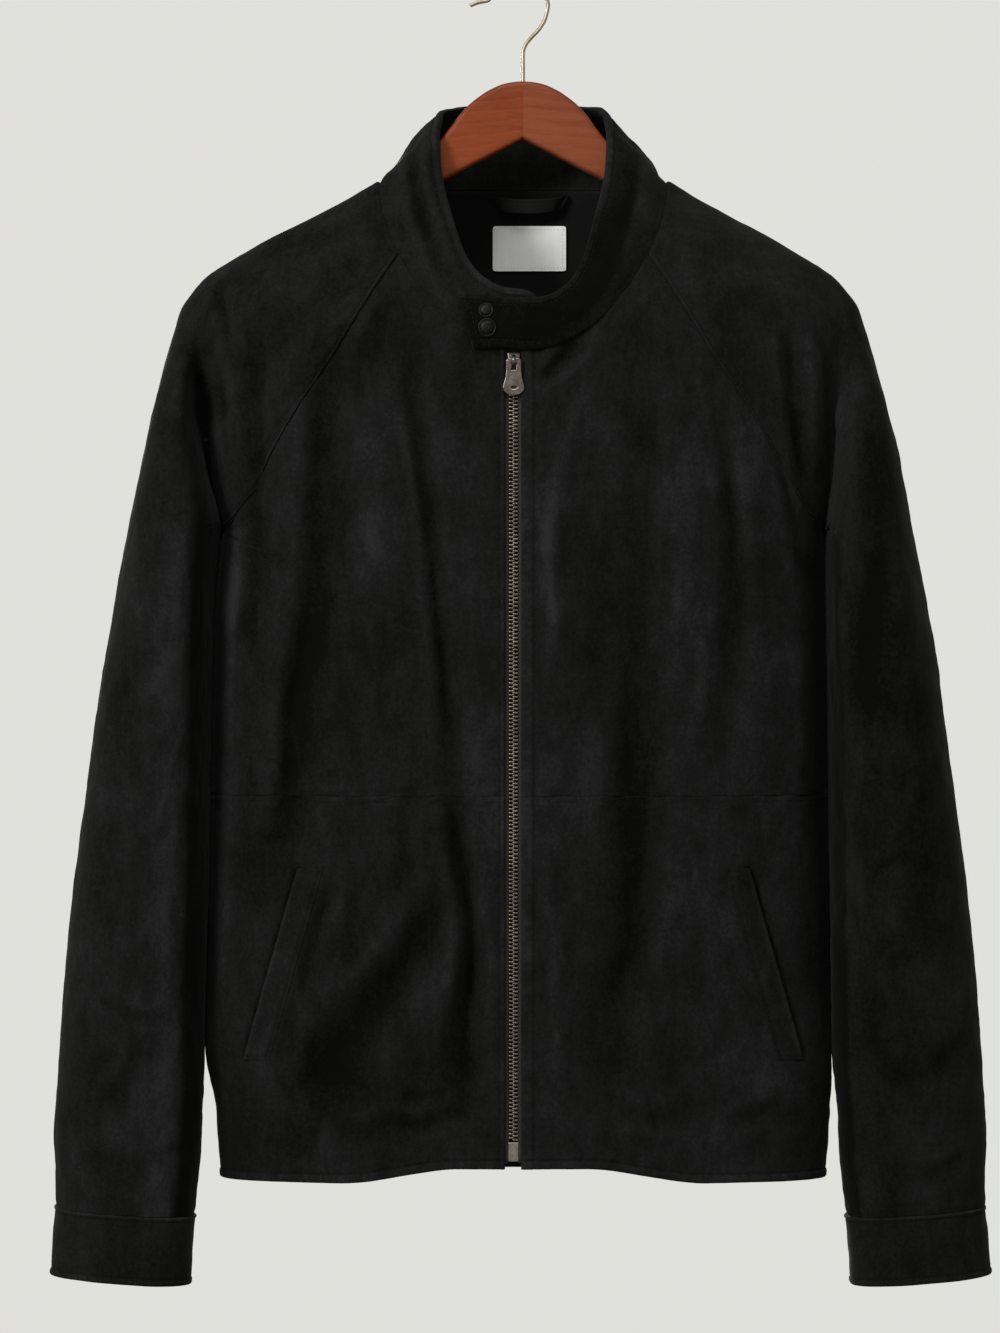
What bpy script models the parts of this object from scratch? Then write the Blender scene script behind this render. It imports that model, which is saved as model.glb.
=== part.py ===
"""A suede zip jacket hanging on a wooden hanger, as named solids.

Metres, +Z up, the jacket's front towards -Y, its wearer's right at -X. The origin is the inside top of the
hanger's hook, where the hanger is held. Sizes are in millimetres, and MM turns them into metres.
"""

import bisect
import math
from collections import namedtuple

import bmesh
import bpy
from mathutils import Vector

MM = 0.001

# Cloth and seams
CLOTH = 2.0
COLLAR_CLOTH = 3.0
FACING_CLOTH = 1.2
SEAM_GAP = 0.4
LAID_GAP = 0.3
LINING_GAP = 0.9
WELT_GAP = 0.8
COLLAR_GAP = 0.6

# Heights of the seams
NECK_SIDE_Z = -133.0
NECK_HALF_WIDTH = 95.0
NECK_DROP = 116.0
NECK_POWER = 1.75
RAGLAN_TOP_Z = -185.0
ARMPIT_Z = -363.0
CROSS_SEAM_Z = -537.0
SIDE_HEM_Z = -789.0
HEM_MIDDLE_Z = -779.0
HEM_RISE = (40.0, 120.0)
SLEEVE_END_Z = -808.5
CUFF_END_Z = -853.0

# The sides, by the sign of x and the wearer's word
SIDES = {-1: "right", 1: "left"}

# How far the fronts' opening and the zip lie from the middle
OPENING_X = {-1: -12.0, 1: -1.5}
ZIP_X = -6.4

# The sleeves hang a little to the wearer's right, and their ends rise on the outside
SLEEVE_SHIFT = -2.0
SLEEVE_TILT = 3.5
TILT_START_Z = -600.0

BODY_POWER = 2.5
SLEEVE_POWER = 2.1
TROUGH_BLEND = 18.0
TROUGH_CLOSE = 90.0
TROUGH_IN = 4.0
TROUGH_SHARE = 0.9

# A fold fades over this share of its length at each end, and where the body is thinner than its room
FOLD_FADE = 0.3
FOLD_ROOM = 40.0

# Steps for finding slopes, and the slack of comparisons
SLOPE_STEP = 0.5
NEARLY_ZERO = 0.001

Outline = namedtuple("Outline", "z half_width")
OUTLINE = [
    Outline(*row)
    for row in (
        (-132, 95.0),
        (-145, 116.0),
        (-158, 140.0),
        (-171, 165.5),
        (-185, 189.3),
        (-191, 199.0),
        (-198, 208.4),
        (-205, 214.6),
        (-218, 223.6),
        (-231, 227.6),
        (-251, 233.3),
        (-290, 242.9),
        (-330, 251.2),
        (-370, 258.8),
        (-409, 266.0),
        (-488, 278.6),
        (-568, 289.4),
        (-647, 298.2),
        (-726, 303.2),
        (-766, 305.4),
        (-785, 304.6),
        (-805, 305.2),
        (-825, 307.4),
        (-853, 309.6),
    )
]

Body = namedtuple("Body", "z half_width front back")
BODY = [
    Body(*row)
    for row in (
        (-132, 400.0, 14.0, 43.0),
        (-150, 400.0, 25.0, 47.0),
        (-165, 400.0, 32.0, 50.0),
        (-180, 400.0, 38.5, 53.0),
        (-200, 400.0, 47.0, 56.0),
        (-212, 230.0, 52.0, 57.5),
        (-232, 226.5, 57.0, 59.5),
        (-252, 221.5, 60.0, 61.0),
        (-290, 214.0, 63.0, 62.5),
        (-330, 206.5, 64.5, 63.0),
        (-350, 201.5, 65.0, 62.5),
        (-363, 198.0, 65.0, 62.0),
        (-378, 196.0, 64.5, 61.5),
        (-435, 197.6, 63.0, 60.0),
        (-490, 202.4, 60.5, 57.5),
        (-540, 203.2, 58.0, 55.0),
        (-625, 203.8, 54.0, 51.0),
        (-700, 204.0, 50.0, 47.5),
        (-755, 201.8, 47.0, 45.0),
        (-792, 199.0, 45.0, 43.0),
    )
]

Sleeve = namedtuple("Sleeve", "z inner depth forward")
SLEEVE = [
    Sleeve(*row)
    for row in (
        (-205, 200.0, 0.0, 0.0),
        (-218, 205.0, 9.0, 0.0),
        (-231, 208.0, 19.0, 0.0),
        (-252, 209.0, 33.0, 0.0),
        (-290, 207.0, 49.0, 0.0),
        (-330, 203.5, 58.5, 0.0),
        (-363, 201.6, 62.0, 0.0),
        (-376, 203.5, 62.0, 0.0),
        (-400, 206.5, 61.5, -0.5),
        (-450, 207.8, 59.5, -2.0),
        (-530, 207.8, 54.5, -4.0),
        (-620, 207.8, 47.0, -8.0),
        (-700, 207.6, 39.5, -13.0),
        (-765, 209.0, 33.0, -17.0),
        (-809, 213.0, 29.0, -20.0),
        (-853, 215.5, 27.0, -22.0),
    )
]

Seam = namedtuple("Seam", "z x")
RAGLAN = {
    "front": [
        Seam(*row)
        for row in (
            (-185, 81.5),
            (-218, 102.5),
            (-251, 122.8),
            (-268, 134.5),
            (-304, 157.0),
            (-335, 174.0),
            (-355, 188.5),
            (-363, 198.8),
        )
    ],
    "back": [
        Seam(*row)
        for row in (
            (-134, 72.0),
            (-185, 96.0),
            (-251, 132.0),
            (-304, 159.0),
            (-335, 175.0),
            (-355, 189.0),
            (-363, 198.8),
        )
    ],
}

# Soft folds: a trough has a positive depth, a ridge a negative one
Fold = namedtuple("Fold", "face x_start z_start x_middle z_middle x_end z_end width depth")
FOLDS = [
    Fold(*row)
    for row in (
        ("front", -128, -268, -138, -400, -150, -526, 20, 5.0),
        ("front", -68, -276, -53, -480, -40, -600, 14, 4.5),
        ("front", -42, -540, -36, -650, -31, -750, 13, 7.0),
        ("front", -53, -597, -92, -666, -134, -723, 24, 5.0),
        ("front", -122, -590, -138, -650, -153, -713, 14, 4.0),
        ("front", -92, -755, -68, -750, -42, -749, 8, 3.5),
        ("front", 40, -285, 25, -360, 16, -440, 20, -4.0),
        ("front", 78, -300, 81, -400, 72, -520, 18, 5.0),
        ("front", 70, -520, 65, -580, 58, -640, 18, 4.0),
        ("front", 124, -272, 134, -330, 136, -410, 18, 4.5),
        ("front", 110, -560, 118, -640, 106, -730, 24, 4.0),
        ("back", -96, -250, -80, -420, -88, -600, 24, 5.0),
        ("back", 84, -240, 96, -400, 78, -560, 26, 5.0),
        ("back", -30, -480, -22, -620, -34, -760, 20, 5.0),
        ("back", 40, -560, 52, -660, 44, -770, 20, 4.5),
        ("back", 128, -420, 134, -540, 122, -680, 20, 4.5),
        ("back", -140, -460, -134, -580, -146, -700, 20, 4.0),
    )
]

Rim = namedtuple("Rim", "angle z")
RIM = [
    Rim(*row)
    for row in (
        (0, -210.0),
        (13, -208.5),
        (25, -203.0),
        (41, -187.0),
        (54, -166.0),
        (73, -134.0),
        (90, -104.0),
        (105, -91.0),
        (120, -83.5),
        (140, -78.0),
        (180, -75.7),
    )
]
RIM_HALF_WIDTH = 56.0
RIM_MIDDLE_Y = -8.0
RIM_HALF_DEPTH = 53.0
COLLAR_BULGE = 2.5
UNDERLAP_ANGLE = -13.0
OVERLAP_LIFT = 3.6
OVERLAP_ANGLES = (300.0, 342.0)
OVERLAP_DROP = 6.0

Tab = namedtuple("Tab", "x_top y_top z_top x_bottom y_bottom z_bottom")
TAB = [
    Tab(*row)
    for row in (
        (-10.0, -64.4, -215.6, -9.0, -63.9, -248.0),
        (-20.0, -63.3, -214.2, -17.0, -63.9, -248.1),
        (-31.0, -61.0, -213.0, -24.5, -63.7, -248.2),
        (-42.2, -57.6, -211.6, -32.4, -63.4, -248.3),
    )
]

Pocket = namedtuple("Pocket", "x_top z_top x_bottom z_bottom width")
POCKET = Pocket(146.5, -584.0, 182.5, -709.0, 17.0)
WELT_CLOTH = 1.8
FACING_HALF_WIDTH = 78.0
FACING_TOP_Z = -136.0
FACING_BOTTOM_Z = -236.0
FACING_POWER = 2.6
FACING_FOOT = 0.98
FACING_IN_FROM_SEAM = 4.0
LABEL_X = (-20.0, 29.3)
LABEL_Z = (-156.5, -186.2)
LABEL_CLOTH = 0.5
LOOP_X = (-22.0, 30.0)
LOOP_Z = -136.0
LOOP_WIDTH = 8.0
LOOP_CLOTH = 1.6
LOOP_SAG = 10.0
LOOP_DROP = 3.0
LOOP_POWER = 0.6

TAPE_REACH = 3.4
TAPE_UNDER = 5.0
TAPE_GAP = 0.9
TAPE_REACH_AT_SLIDER = 4.9
TAPE_CLOTH = 0.8
TAPE_TOP_Z = -250.6
TAPE_BOTTOM_Z = -774.5
CHAIN_WIDTH = 6.0
CHAIN_THICK = 2.4
CHAIN_TOP_Z = -262.0
CHAIN_GAP = 1.0
CHAIN_CREST = 0.55
CHAIN_EDGE = 0.6
BOX_TOP_Z = -761.0
BOX_SIZE = (6.8, 4.0, 12.5)
SLIDER_TOP_Z = -250.8
SLIDER_HEIGHT = 10.8
SLIDER_TOP_WIDTH = 8.6
SLIDER_BOTTOM_WIDTH = 6.4
SLIDER_THICK = 5.2
SLIDER_ROUNDING = 1.1
BRIDGE_OUT = 7.2
BRIDGE_RADIUS = 3.4
BRIDGE_WIRE = 0.85
BRIDGE_WIDENING = 1.5
BRIDGE_ROOT = 0.6
BOX_ROUNDING = 0.6
PULL_THICK = 1.5
PULL_ROUNDING = 0.25
PULL_PIVOT_Z = -256.4
PULL_OUT = 6.4

# The pull, from its pivot down: half-widths of the plate, then half-width, top and bottom of its window
Plate = namedtuple("Plate", "down half_width")
PULL_PLATE = [
    Plate(*row)
    for row in (
        (-1.25, 3.2),
        (-0.7, 4.0),
        (0.4, 4.4),
        (6.0, 4.4),
        (11.5, 5.0),
        (15.5, 6.3),
        (17.4, 6.6),
        (19.4, 6.0),
        (21.0, 4.2),
        (21.9, 1.6),
    )
]
PULL_WINDOW = (2.0, 0.95, 6.4)

# The dished oval: how far down, half its width, half its height, its bowl's radius and its depth
PULL_DISH = (17.2, 4.7, 2.4, 1.2, 0.35)

SNAP_GAP = 0.3
SNAP_TURN = -0.13

Snap = namedtuple("Snap", "name x z radius height")
SNAPS = (
    Snap("snap_upper", -24.2, -223.9, 4.8, 1.6),
    Snap("snap_lower", -23.4, -235.2, 6.1, 2.2),
)

# The hanger's arms, seen from the front
Arm = namedtuple("Arm", "x top bottom")
ARM = [
    Arm(*row)
    for row in (
        (0.2, -67.3, -105.6),
        (12.0, -68.8, -111.8),
        (22.5, -73.2, -117.3),
        (31.0, -78.9, -121.7),
        (38.0, -85.0, -125.4),
        (53.5, -104.5, -133.4),
        (70.0, -121.0, -142.0),
        (85.0, -134.8, -149.8),
        (97.0, -143.0, -156.2),
        (125.0, -155.4, -170.8),
        (150.0, -169.4, -184.0),
        (175.0, -183.2, -197.4),
        (190.0, -191.8, -205.6),
        (196.5, -198.4, -204.4),
    )
]
ARM_THICK = 12.0
ARM_BEVEL = 3.5

# The hook's wire: stem, bend, round loop and a tip that turns out
WIRE_RADIUS = 1.3
HOOK_CENTRE = (-3.0, -17.95)
HOOK_RADIUS = 19.5
HOOK_LAST_ANGLE = 160
STEM = ((0.0, -90.0), (0.0, -60.0), (0.0, -48.5), (0.8, -44.8), (2.6, -41.4), (6.0, -37.4))
STEM_BEND = ((9.4, -33.9), (12.2, -30.2), (14.6, -25.6))
HOOK_TIP = ((-23.0, -13.4), (-26.2, -14.2), (-30.2, -15.0), (-34.2, -16.6))
BORE_CLEARANCE = 0.35
BORE_DEPTH = 26.0

# Rows of the panels between the seams
NECK_ROWS = 5
RAGLAN_ROWS = 8
SIDE_ROWS = 6
LOWER_ROWS = 6
ARM_ROWS = 10
BODY_SHARES = (0.0, 0.065, 0.19, 0.33, 0.47, 0.61, 0.74, 0.85, 0.93, 0.978, 1.0)
TROUGH_COLUMNS = 3
ARM_COLUMNS = 5
CUFF_COLUMNS = 24
COLLAR_STEPS = 40
COLLAR_ROWS = 3
FACING_ROWS = 7
FACING_COLUMNS = 8
LABEL_ROWS = 2
LABEL_COLUMNS = 5
LOOP_COLUMNS = 14
WELT_ROWS = 7
WELT_COLUMNS = 3
ZIP_ROWS = 18
BRIDGE_STEPS = 12
BRIDGE_SIDES = 8
TURNED_STEPS = 24
DISH_STEPS = 24
BORE_STEPS = 20
HOOK_ANGLE_STEP = 10

SUEDE = ("suede", (0.010, 0.0098, 0.0095), 0.95, 0.0)
LINING = ("lining", (0.007, 0.007, 0.0075), 0.6, 0.0)
LABEL = ("label", (0.62, 0.62, 0.60), 0.75, 0.0)
TAPE = ("zip_tape", (0.030, 0.023, 0.019), 0.9, 0.0)
ZIP_METAL = ("zip_metal", (0.20, 0.17, 0.13), 0.4, 1.0)
PULL_METAL = ("pull_metal", (0.46, 0.39, 0.36), 0.35, 1.0)
SNAP_METAL = ("snap_metal", (0.035, 0.034, 0.032), 0.45, 1.0)
WOOD = ("wood", (0.26, 0.062, 0.026), 0.4, 0.0)
WIRE = ("wire", (0.46, 0.38, 0.26), 0.3, 1.0)


# ---- Curves and tables


def smooth(table, name):
    """A smooth function through a table's rows, from the first column to the named one, with no overshoot."""
    rows = sorted((row[0], getattr(row, name)) for row in table)
    keys = [key for key, _ in rows]
    values = [value for _, value in rows]
    steps = [(v1 - v0) / (k1 - k0) for (k0, v0), (k1, v1) in zip(rows, rows[1:])]
    slopes = [steps[0]]
    for before, after in zip(steps, steps[1:]):
        slopes.append(2 * before * after / (before + after) if before * after > 0 else 0.0)
    slopes.append(steps[-1])

    def at(key):
        key = min(max(key, keys[0]), keys[-1])
        i = min(bisect.bisect_right(keys, key) - 1, len(keys) - 2)
        span = keys[i + 1] - keys[i]
        t = (key - keys[i]) / span
        rise = values[i + 1] - values[i]
        bend_in = slopes[i] * span
        bend_out = slopes[i + 1] * span
        return (
            values[i]
            + bend_in * t
            + (3 * rise - 2 * bend_in - bend_out) * t**2
            + (bend_in + bend_out - 2 * rise) * t**3
        )

    return at


def mix(a, b, t):
    return a + (b - a) * t


def ease(low, high, value):
    t = min(max((value - low) / (high - low), 0.0), 1.0)
    return t * t * (3 - 2 * t)


def levels(top, bottom, count):
    """Heights from top to bottom, both included, in count steps."""
    return [mix(top, bottom, i / count) for i in range(count + 1)]


outline = smooth(OUTLINE, "half_width")
body_limit = smooth(BODY, "half_width")
body_depth = {"front": smooth(BODY, "front"), "back": smooth(BODY, "back")}
sleeve_inner = smooth(SLEEVE, "inner")
sleeve_depth = smooth(SLEEVE, "depth")
sleeve_forward = smooth(SLEEVE, "forward")
raglan = {face: smooth(rows, "x") for face, rows in RAGLAN.items()}
rim_height = smooth(RIM, "z")


# ---- The shape that the cloth hangs in


def neck_x(z):
    """Half the width of the neck seam's front curve at a height."""
    drop = min(max((NECK_SIDE_Z - z) / NECK_DROP, 0.0), 1.0)
    return NECK_HALF_WIDTH * (1 - drop**NECK_POWER) ** (1 / NECK_POWER)


def neck_point(angle):
    """A place on the neck seam's front curve, by its angle from the middle of the front."""
    across = abs(math.sin(angle)) ** (2 / NECK_POWER)
    down = max(math.cos(angle), 0.0) ** (2 / NECK_POWER)
    return math.copysign(NECK_HALF_WIDTH * across, math.sin(angle)), NECK_SIDE_Z - NECK_DROP * down


def neck_angle(x):
    """The angle of the neck seam's point at a distance from the middle."""
    across = (min(abs(x) / NECK_HALF_WIDTH, 1.0)) ** (NECK_POWER / 2)
    return math.copysign(math.asin(across), x)


def outer_x(side, z):
    drift = SLEEVE_SHIFT * ease(-NECK_SIDE_Z, 190.0, -z)
    return side * outline(z) + drift


def inner_x(side, z):
    return side * sleeve_inner(z) + SLEEVE_SHIFT


def body_edge_x(side, z):
    return side * body_limit(z)


def section(across, power):
    """1 in the middle of a rounded section and 0 at its edges, where across is -1 or 1."""
    return max(0.0, 1.0 - abs(across) ** power) ** (1.0 / power)


def blend_max(a, b, reach):
    if reach <= 0:
        return max(a, b)
    closeness = max(reach - abs(a - b), 0.0) / reach
    return max(a, b) + closeness**2 * reach / 4


def torso_depth(x, z, face):
    half = body_limit(z)
    middle = 0.0
    if outline(z) < half:
        half = outline(z)
        middle = outer_x(1, z) - half
    return body_depth[face](z) * section((x - middle) / half, BODY_POWER)


def arm_depth(x, z):
    if sleeve_depth(z) <= 0:
        return 0.0
    side = 1 if x > 0 else -1
    outer = outer_x(side, z)
    inner = inner_x(side, z)
    return sleeve_depth(z) * section((2 * x - outer - inner) / (outer - inner), SLEEVE_POWER)


def fold_depth(x, z, face):
    """How far the folds near a place push the cloth in."""
    total = 0.0
    for fold in FOLDS:
        if fold.face != face:
            continue
        points = (
            (fold.x_start, fold.z_start),
            (fold.x_middle, fold.z_middle),
            (fold.x_end, fold.z_end),
        )
        nearest = None
        for i, ((x0, z0), (x1, z1)) in enumerate(zip(points, points[1:])):
            run = (x1 - x0) ** 2 + (z1 - z0) ** 2
            t = min(max(((x - x0) * (x1 - x0) + (z - z0) * (z1 - z0)) / run, 0.0), 1.0)
            away = math.hypot(x - mix(x0, x1, t), z - mix(z0, z1, t))
            if nearest is None or away < nearest[0]:
                nearest = (away, (i + t) / 2)
        away, along = nearest
        fade = ease(0.0, FOLD_FADE, along) * ease(0.0, FOLD_FADE, 1 - along)
        total += fold.depth * fade * math.exp(-((away / fold.width) ** 2))
    return total


def skin_y(x, z, face, limb):
    """Where the cloth's outer face lies at a place seen from the front: on the body, or on a sleeve."""
    sign = -1 if face == "front" else 1
    middle = 0.0
    if z >= ARMPIT_Z:
        reach = TROUGH_BLEND * ease(0.0, TROUGH_CLOSE, z - ARMPIT_Z)
        depth = blend_max(torso_depth(x, z, face), arm_depth(x, z), reach)
    elif limb == "body":
        depth = torso_depth(x, z, face)
    else:
        depth = arm_depth(x, z)
        middle = sleeve_forward(z)
    if limb == "body":
        depth -= fold_depth(x, z, face) * ease(0.0, FOLD_ROOM, depth)
    return middle + sign * depth


def skin_normal(x, z, face, limb):
    step = SLOPE_STEP
    sign = -1 if face == "front" else 1
    across = (skin_y(x + step, z, face, limb) - skin_y(x - step, z, face, limb)) / (2 * step)
    along = (skin_y(x, z + step, face, limb) - skin_y(x, z - step, face, limb)) / (2 * step)
    return Vector((-sign * across, sign, -sign * along)).normalized()


def edge_normal(x, z, limb, side):
    """Out of the side where front and back meet, so with no part of it across that seam."""
    step = SLOPE_STEP
    if limb == "body":
        slope = (body_edge_x(side, z + step) - body_edge_x(side, z - step)) / (2 * step)
        return Vector((side, 0, -side * slope)).normalized()
    outer = abs(x - outer_x(side, z)) < abs(x - inner_x(side, z)) or z > ARMPIT_Z
    edge = outer_x if outer else inner_x
    slope = (edge(side, z + step) - edge(side, z - step)) / (2 * step)
    out = side if outer else -side
    return Vector((out, 0, -out * slope)).normalized()


def lay(x, z, face, limb, edge=0, lift=0.0, wall=CLOTH):
    """The outer and inner points of cloth at a place. A lift puts a second layer on the first one.

    edge is the side, -1 or 1, where the place is on the seam between front and back.
    """
    sign = -1 if face == "front" else 1
    middle = sleeve_forward(z) if limb == "sleeve" and z < ARMPIT_Z else 0.0
    if edge:
        y = middle + sign * SEAM_GAP / 2
        normal = edge_normal(x, z, limb, edge)
    else:
        y = skin_y(x, z, face, limb)
        normal = skin_normal(x, z, face, limb)
    outer = Vector((x, y, z)) + normal * lift
    inner = outer - normal * wall
    if (inner.y - middle) * sign < SEAM_GAP / 2:
        inner.y = middle + sign * SEAM_GAP / 2
    return outer, inner


def tilted(point, side, level):
    """A sleeve's point, moved up on the outside and down on the inside near the sleeve's end."""
    middle = (outer_x(side, level) + inner_x(side, level)) / 2
    half = abs(outer_x(side, level) - inner_x(side, level)) / 2
    amount = SLEEVE_TILT * ease(-TILT_START_Z, -CUFF_END_Z, -level)
    return point + Vector((0, 0, amount * side * (point.x - middle) / half))


# ---- Objects


def clear_scene():
    for obj in list(bpy.data.objects):
        bpy.data.objects.remove(obj, do_unlink=True)


def new_collection(name, shown=True):
    collection = bpy.data.collections.new(name)
    bpy.context.scene.collection.children.link(collection)
    collection.hide_render = not shown
    return collection


def material(finish):
    name, colour, roughness, metallic = finish
    if name in bpy.data.materials:
        return bpy.data.materials[name]
    made = bpy.data.materials.new(name)
    made.use_nodes = True
    shader = made.node_tree.nodes["Principled BSDF"]
    shader.inputs["Base Color"].default_value = (*colour, 1.0)
    shader.inputs["Roughness"].default_value = roughness
    shader.inputs["Metallic"].default_value = metallic
    return made


def add_object(name, data, collection, finish=None):
    obj = bpy.data.objects.new(name, data)
    collection.objects.link(obj)
    if finish:
        data.materials.append(material(finish))
    return obj


def mesh_object(name, mesh, collection, finish=None):
    data = bpy.data.meshes.new(name)
    bmesh.ops.recalc_face_normals(mesh, faces=mesh.faces)
    mesh.to_mesh(data)
    mesh.free()
    return add_object(name, data, collection, finish)


def wall_object(name, grid, collection, finish, ring=False):
    """A closed wall of cloth from rows of outer and inner points. A ring's rows close on themselves."""
    mesh = bmesh.new()
    skins = [[[mesh.verts.new(pair[i] * MM) for pair in row] for row in grid] for i in (0, 1)]
    rows = len(grid) - 1
    columns = len(grid[0]) if ring else len(grid[0]) - 1
    wrap = len(grid[0])
    for skin in skins:
        for i in range(rows):
            for j in range(columns):
                k = (j + 1) % wrap
                mesh.faces.new((skin[i][j], skin[i][k], skin[i + 1][k], skin[i + 1][j]))
    outer, inner = skins
    for i in (0, rows):
        for j in range(columns):
            k = (j + 1) % wrap
            mesh.faces.new((outer[i][j], outer[i][k], inner[i][k], inner[i][j]))
    if not ring:
        for j in (0, columns):
            for i in range(rows):
                mesh.faces.new((outer[i][j], outer[i + 1][j], inner[i + 1][j], inner[i][j]))
    return mesh_object(name, mesh, collection, finish)


# ---- The jacket's panels


def patch(top, bottom, left, right, rows, columns):
    """A grid of (x, z) places that fills the space between four edges, each a function of 0 to 1."""
    places = []
    for v in rows:
        row = []
        for t in columns:
            across = [mix(left(v)[i], right(v)[i], t) for i in (0, 1)]
            down = [mix(top(t)[i], bottom(t)[i], v) for i in (0, 1)]
            ends = [mix(mix(top(0)[i], top(1)[i], t), mix(bottom(0)[i], bottom(1)[i], t), v) for i in (0, 1)]
            row.append((across[0] + down[0] - ends[0], across[1] + down[1] - ends[1]))
        places.append(row)
    return places


def hem_z(x):
    return HEM_MIDDLE_Z + (SIDE_HEM_Z - HEM_MIDDLE_Z) * ease(*HEM_RISE, abs(x))


def along(heights, t):
    """The height at a share of the way through a list of heights."""
    place = t * (len(heights) - 1)
    i = min(int(place), len(heights) - 2)
    return mix(heights[i], heights[i + 1], place - i)


def fractions(count):
    return [i / count for i in range(count + 1)]


def body_grid(places, face, side_columns):
    """Outer and inner points for places on the body. side_columns gives each side seam's column."""
    grid = []
    for row in places:
        laid = []
        for j, (x, z) in enumerate(row):
            side = side_columns.get(j, 0) if z <= ARMPIT_Z + 0.01 else 0
            laid.append(lay(x, z, face, "body", edge=side))
        grid.append(laid)
    return grid


def upper_heights():
    return levels(RAGLAN_TOP_Z, ARMPIT_Z, RAGLAN_ROWS) + levels(ARMPIT_Z, CROSS_SEAM_Z, SIDE_ROWS)[1:]


def raglan_x(face, z):
    """The body's edge at a height: the raglan seam above the armpit and the side seam below it."""
    if z > ARMPIT_Z:
        return raglan[face](z) - SEAM_GAP / 2
    return body_limit(z)


def front_upper(side, name, collection):
    start = OPENING_X[side]
    heights = upper_heights()
    first = math.copysign(neck_angle(abs(start)), start * side)
    angles = (first, neck_angle(raglan["front"](RAGLAN_TOP_Z)))
    bottom_z = CROSS_SEAM_Z + SEAM_GAP / 2

    def top(t):
        x, z = neck_point(mix(*angles, t))
        return side * x, z - SEAM_GAP

    def bottom(t):
        return mix(start, side * body_limit(bottom_z), t), bottom_z

    def left(v):
        return start, mix(top(0)[1], bottom_z, v)

    def right(v):
        z = along(heights, v)
        z = min(z, top(1)[1]) if v == 0 else max(z, bottom_z)
        return side * raglan_x("front", z), z

    rows = fractions(len(heights) - 1)
    places = patch(top, bottom, left, right, rows, BODY_SHARES)
    wall_object(name, body_grid(places, "front", {len(BODY_SHARES) - 1: side}), collection, SUEDE)


def front_lower(side, name, collection):
    start = OPENING_X[side]
    top_z = CROSS_SEAM_Z - SEAM_GAP / 2

    def top(t):
        return mix(start, side * body_limit(top_z), t), top_z

    def bottom(t):
        x = mix(start, side * body_limit(SIDE_HEM_Z), t)
        return x, hem_z(x)

    def left(v):
        return start, mix(top_z, hem_z(start), v)

    def right(v):
        z = mix(top_z, SIDE_HEM_Z, v)
        return side * body_limit(z), z

    places = patch(top, bottom, left, right, fractions(LOWER_ROWS), BODY_SHARES)
    wall_object(name, body_grid(places, "front", {len(BODY_SHARES) - 1: side}), collection, SUEDE)


def back_heights():
    return (
        levels(NECK_SIDE_Z - SEAM_GAP, RAGLAN_TOP_Z, NECK_ROWS)
        + levels(RAGLAN_TOP_Z, ARMPIT_Z, RAGLAN_ROWS)[1:]
        + levels(ARMPIT_Z, CROSS_SEAM_Z, SIDE_ROWS)[1:]
        + levels(CROSS_SEAM_Z, SIDE_HEM_Z, LOWER_ROWS)[1:]
    )


def back(name, collection):
    shares = [-t for t in reversed(BODY_SHARES[2:])] + [0.0] + list(BODY_SHARES[2:])
    grid = []
    for z in back_heights():
        row = []
        for share in shares:
            at_side = abs(share) == 1 and z <= ARMPIT_Z + 0.01
            edge = int(share) if at_side else 0
            row.append(lay(share * raglan_x("back", z), z, "back", "body", edge=edge))
        grid.append(row)
    wall_object(name, grid, collection, SUEDE)


def shoulder_heights():
    return levels(NECK_SIDE_Z - SEAM_GAP, RAGLAN_TOP_Z, NECK_ROWS) + levels(RAGLAN_TOP_Z, ARMPIT_Z, RAGLAN_ROWS)[1:]


def arm_heights(top):
    return levels(top, SLEEVE_END_Z, ARM_ROWS)


def sleeve_start(side, z, face):
    """Where a sleeve's panel begins at a height: at the neck, the raglan seam or the underarm seam."""
    if z <= ARMPIT_Z + 0.01:
        return inner_x(side, z), True
    if face == "front" and z > RAGLAN_TOP_Z + 0.01:
        return side * (neck_x(z) + SEAM_GAP), False
    return side * (raglan[face](z) + SEAM_GAP / 2), False


def sleeve_stations(side, z, start):
    """Places across a sleeve: evenly to the trough where it leaves the body, then round its tube."""
    end = outer_x(side, z)
    trough = inner_x(side, z) + side * TROUGH_IN
    limit = mix(start, end, TROUGH_SHARE)
    trough = side * min(side * trough, side * limit)
    stations = [mix(start, trough, t) for t in fractions(TROUGH_COLUMNS)]
    for t in fractions(ARM_COLUMNS)[1:]:
        stations.append(mix(trough, end, (1 - math.cos(t * math.pi)) / 2))
    return stations


def sleeve(side, face, heights, name, collection):
    """One panel of a sleeve, or the part of it that lies at these heights."""
    grid = []
    for z in heights:
        start, underarm = sleeve_start(side, z, face)
        stations = sleeve_stations(side, z, start)
        row = []
        for i, x in enumerate(stations):
            at_edge = i == len(stations) - 1 or (i == 0 and underarm)
            pair = lay(x, z, face, "sleeve", edge=side if at_edge else 0)
            row.append(tuple(tilted(point, side, z) for point in pair))
        grid.append(row)
    wall_object(name, grid, collection, SUEDE)


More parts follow.
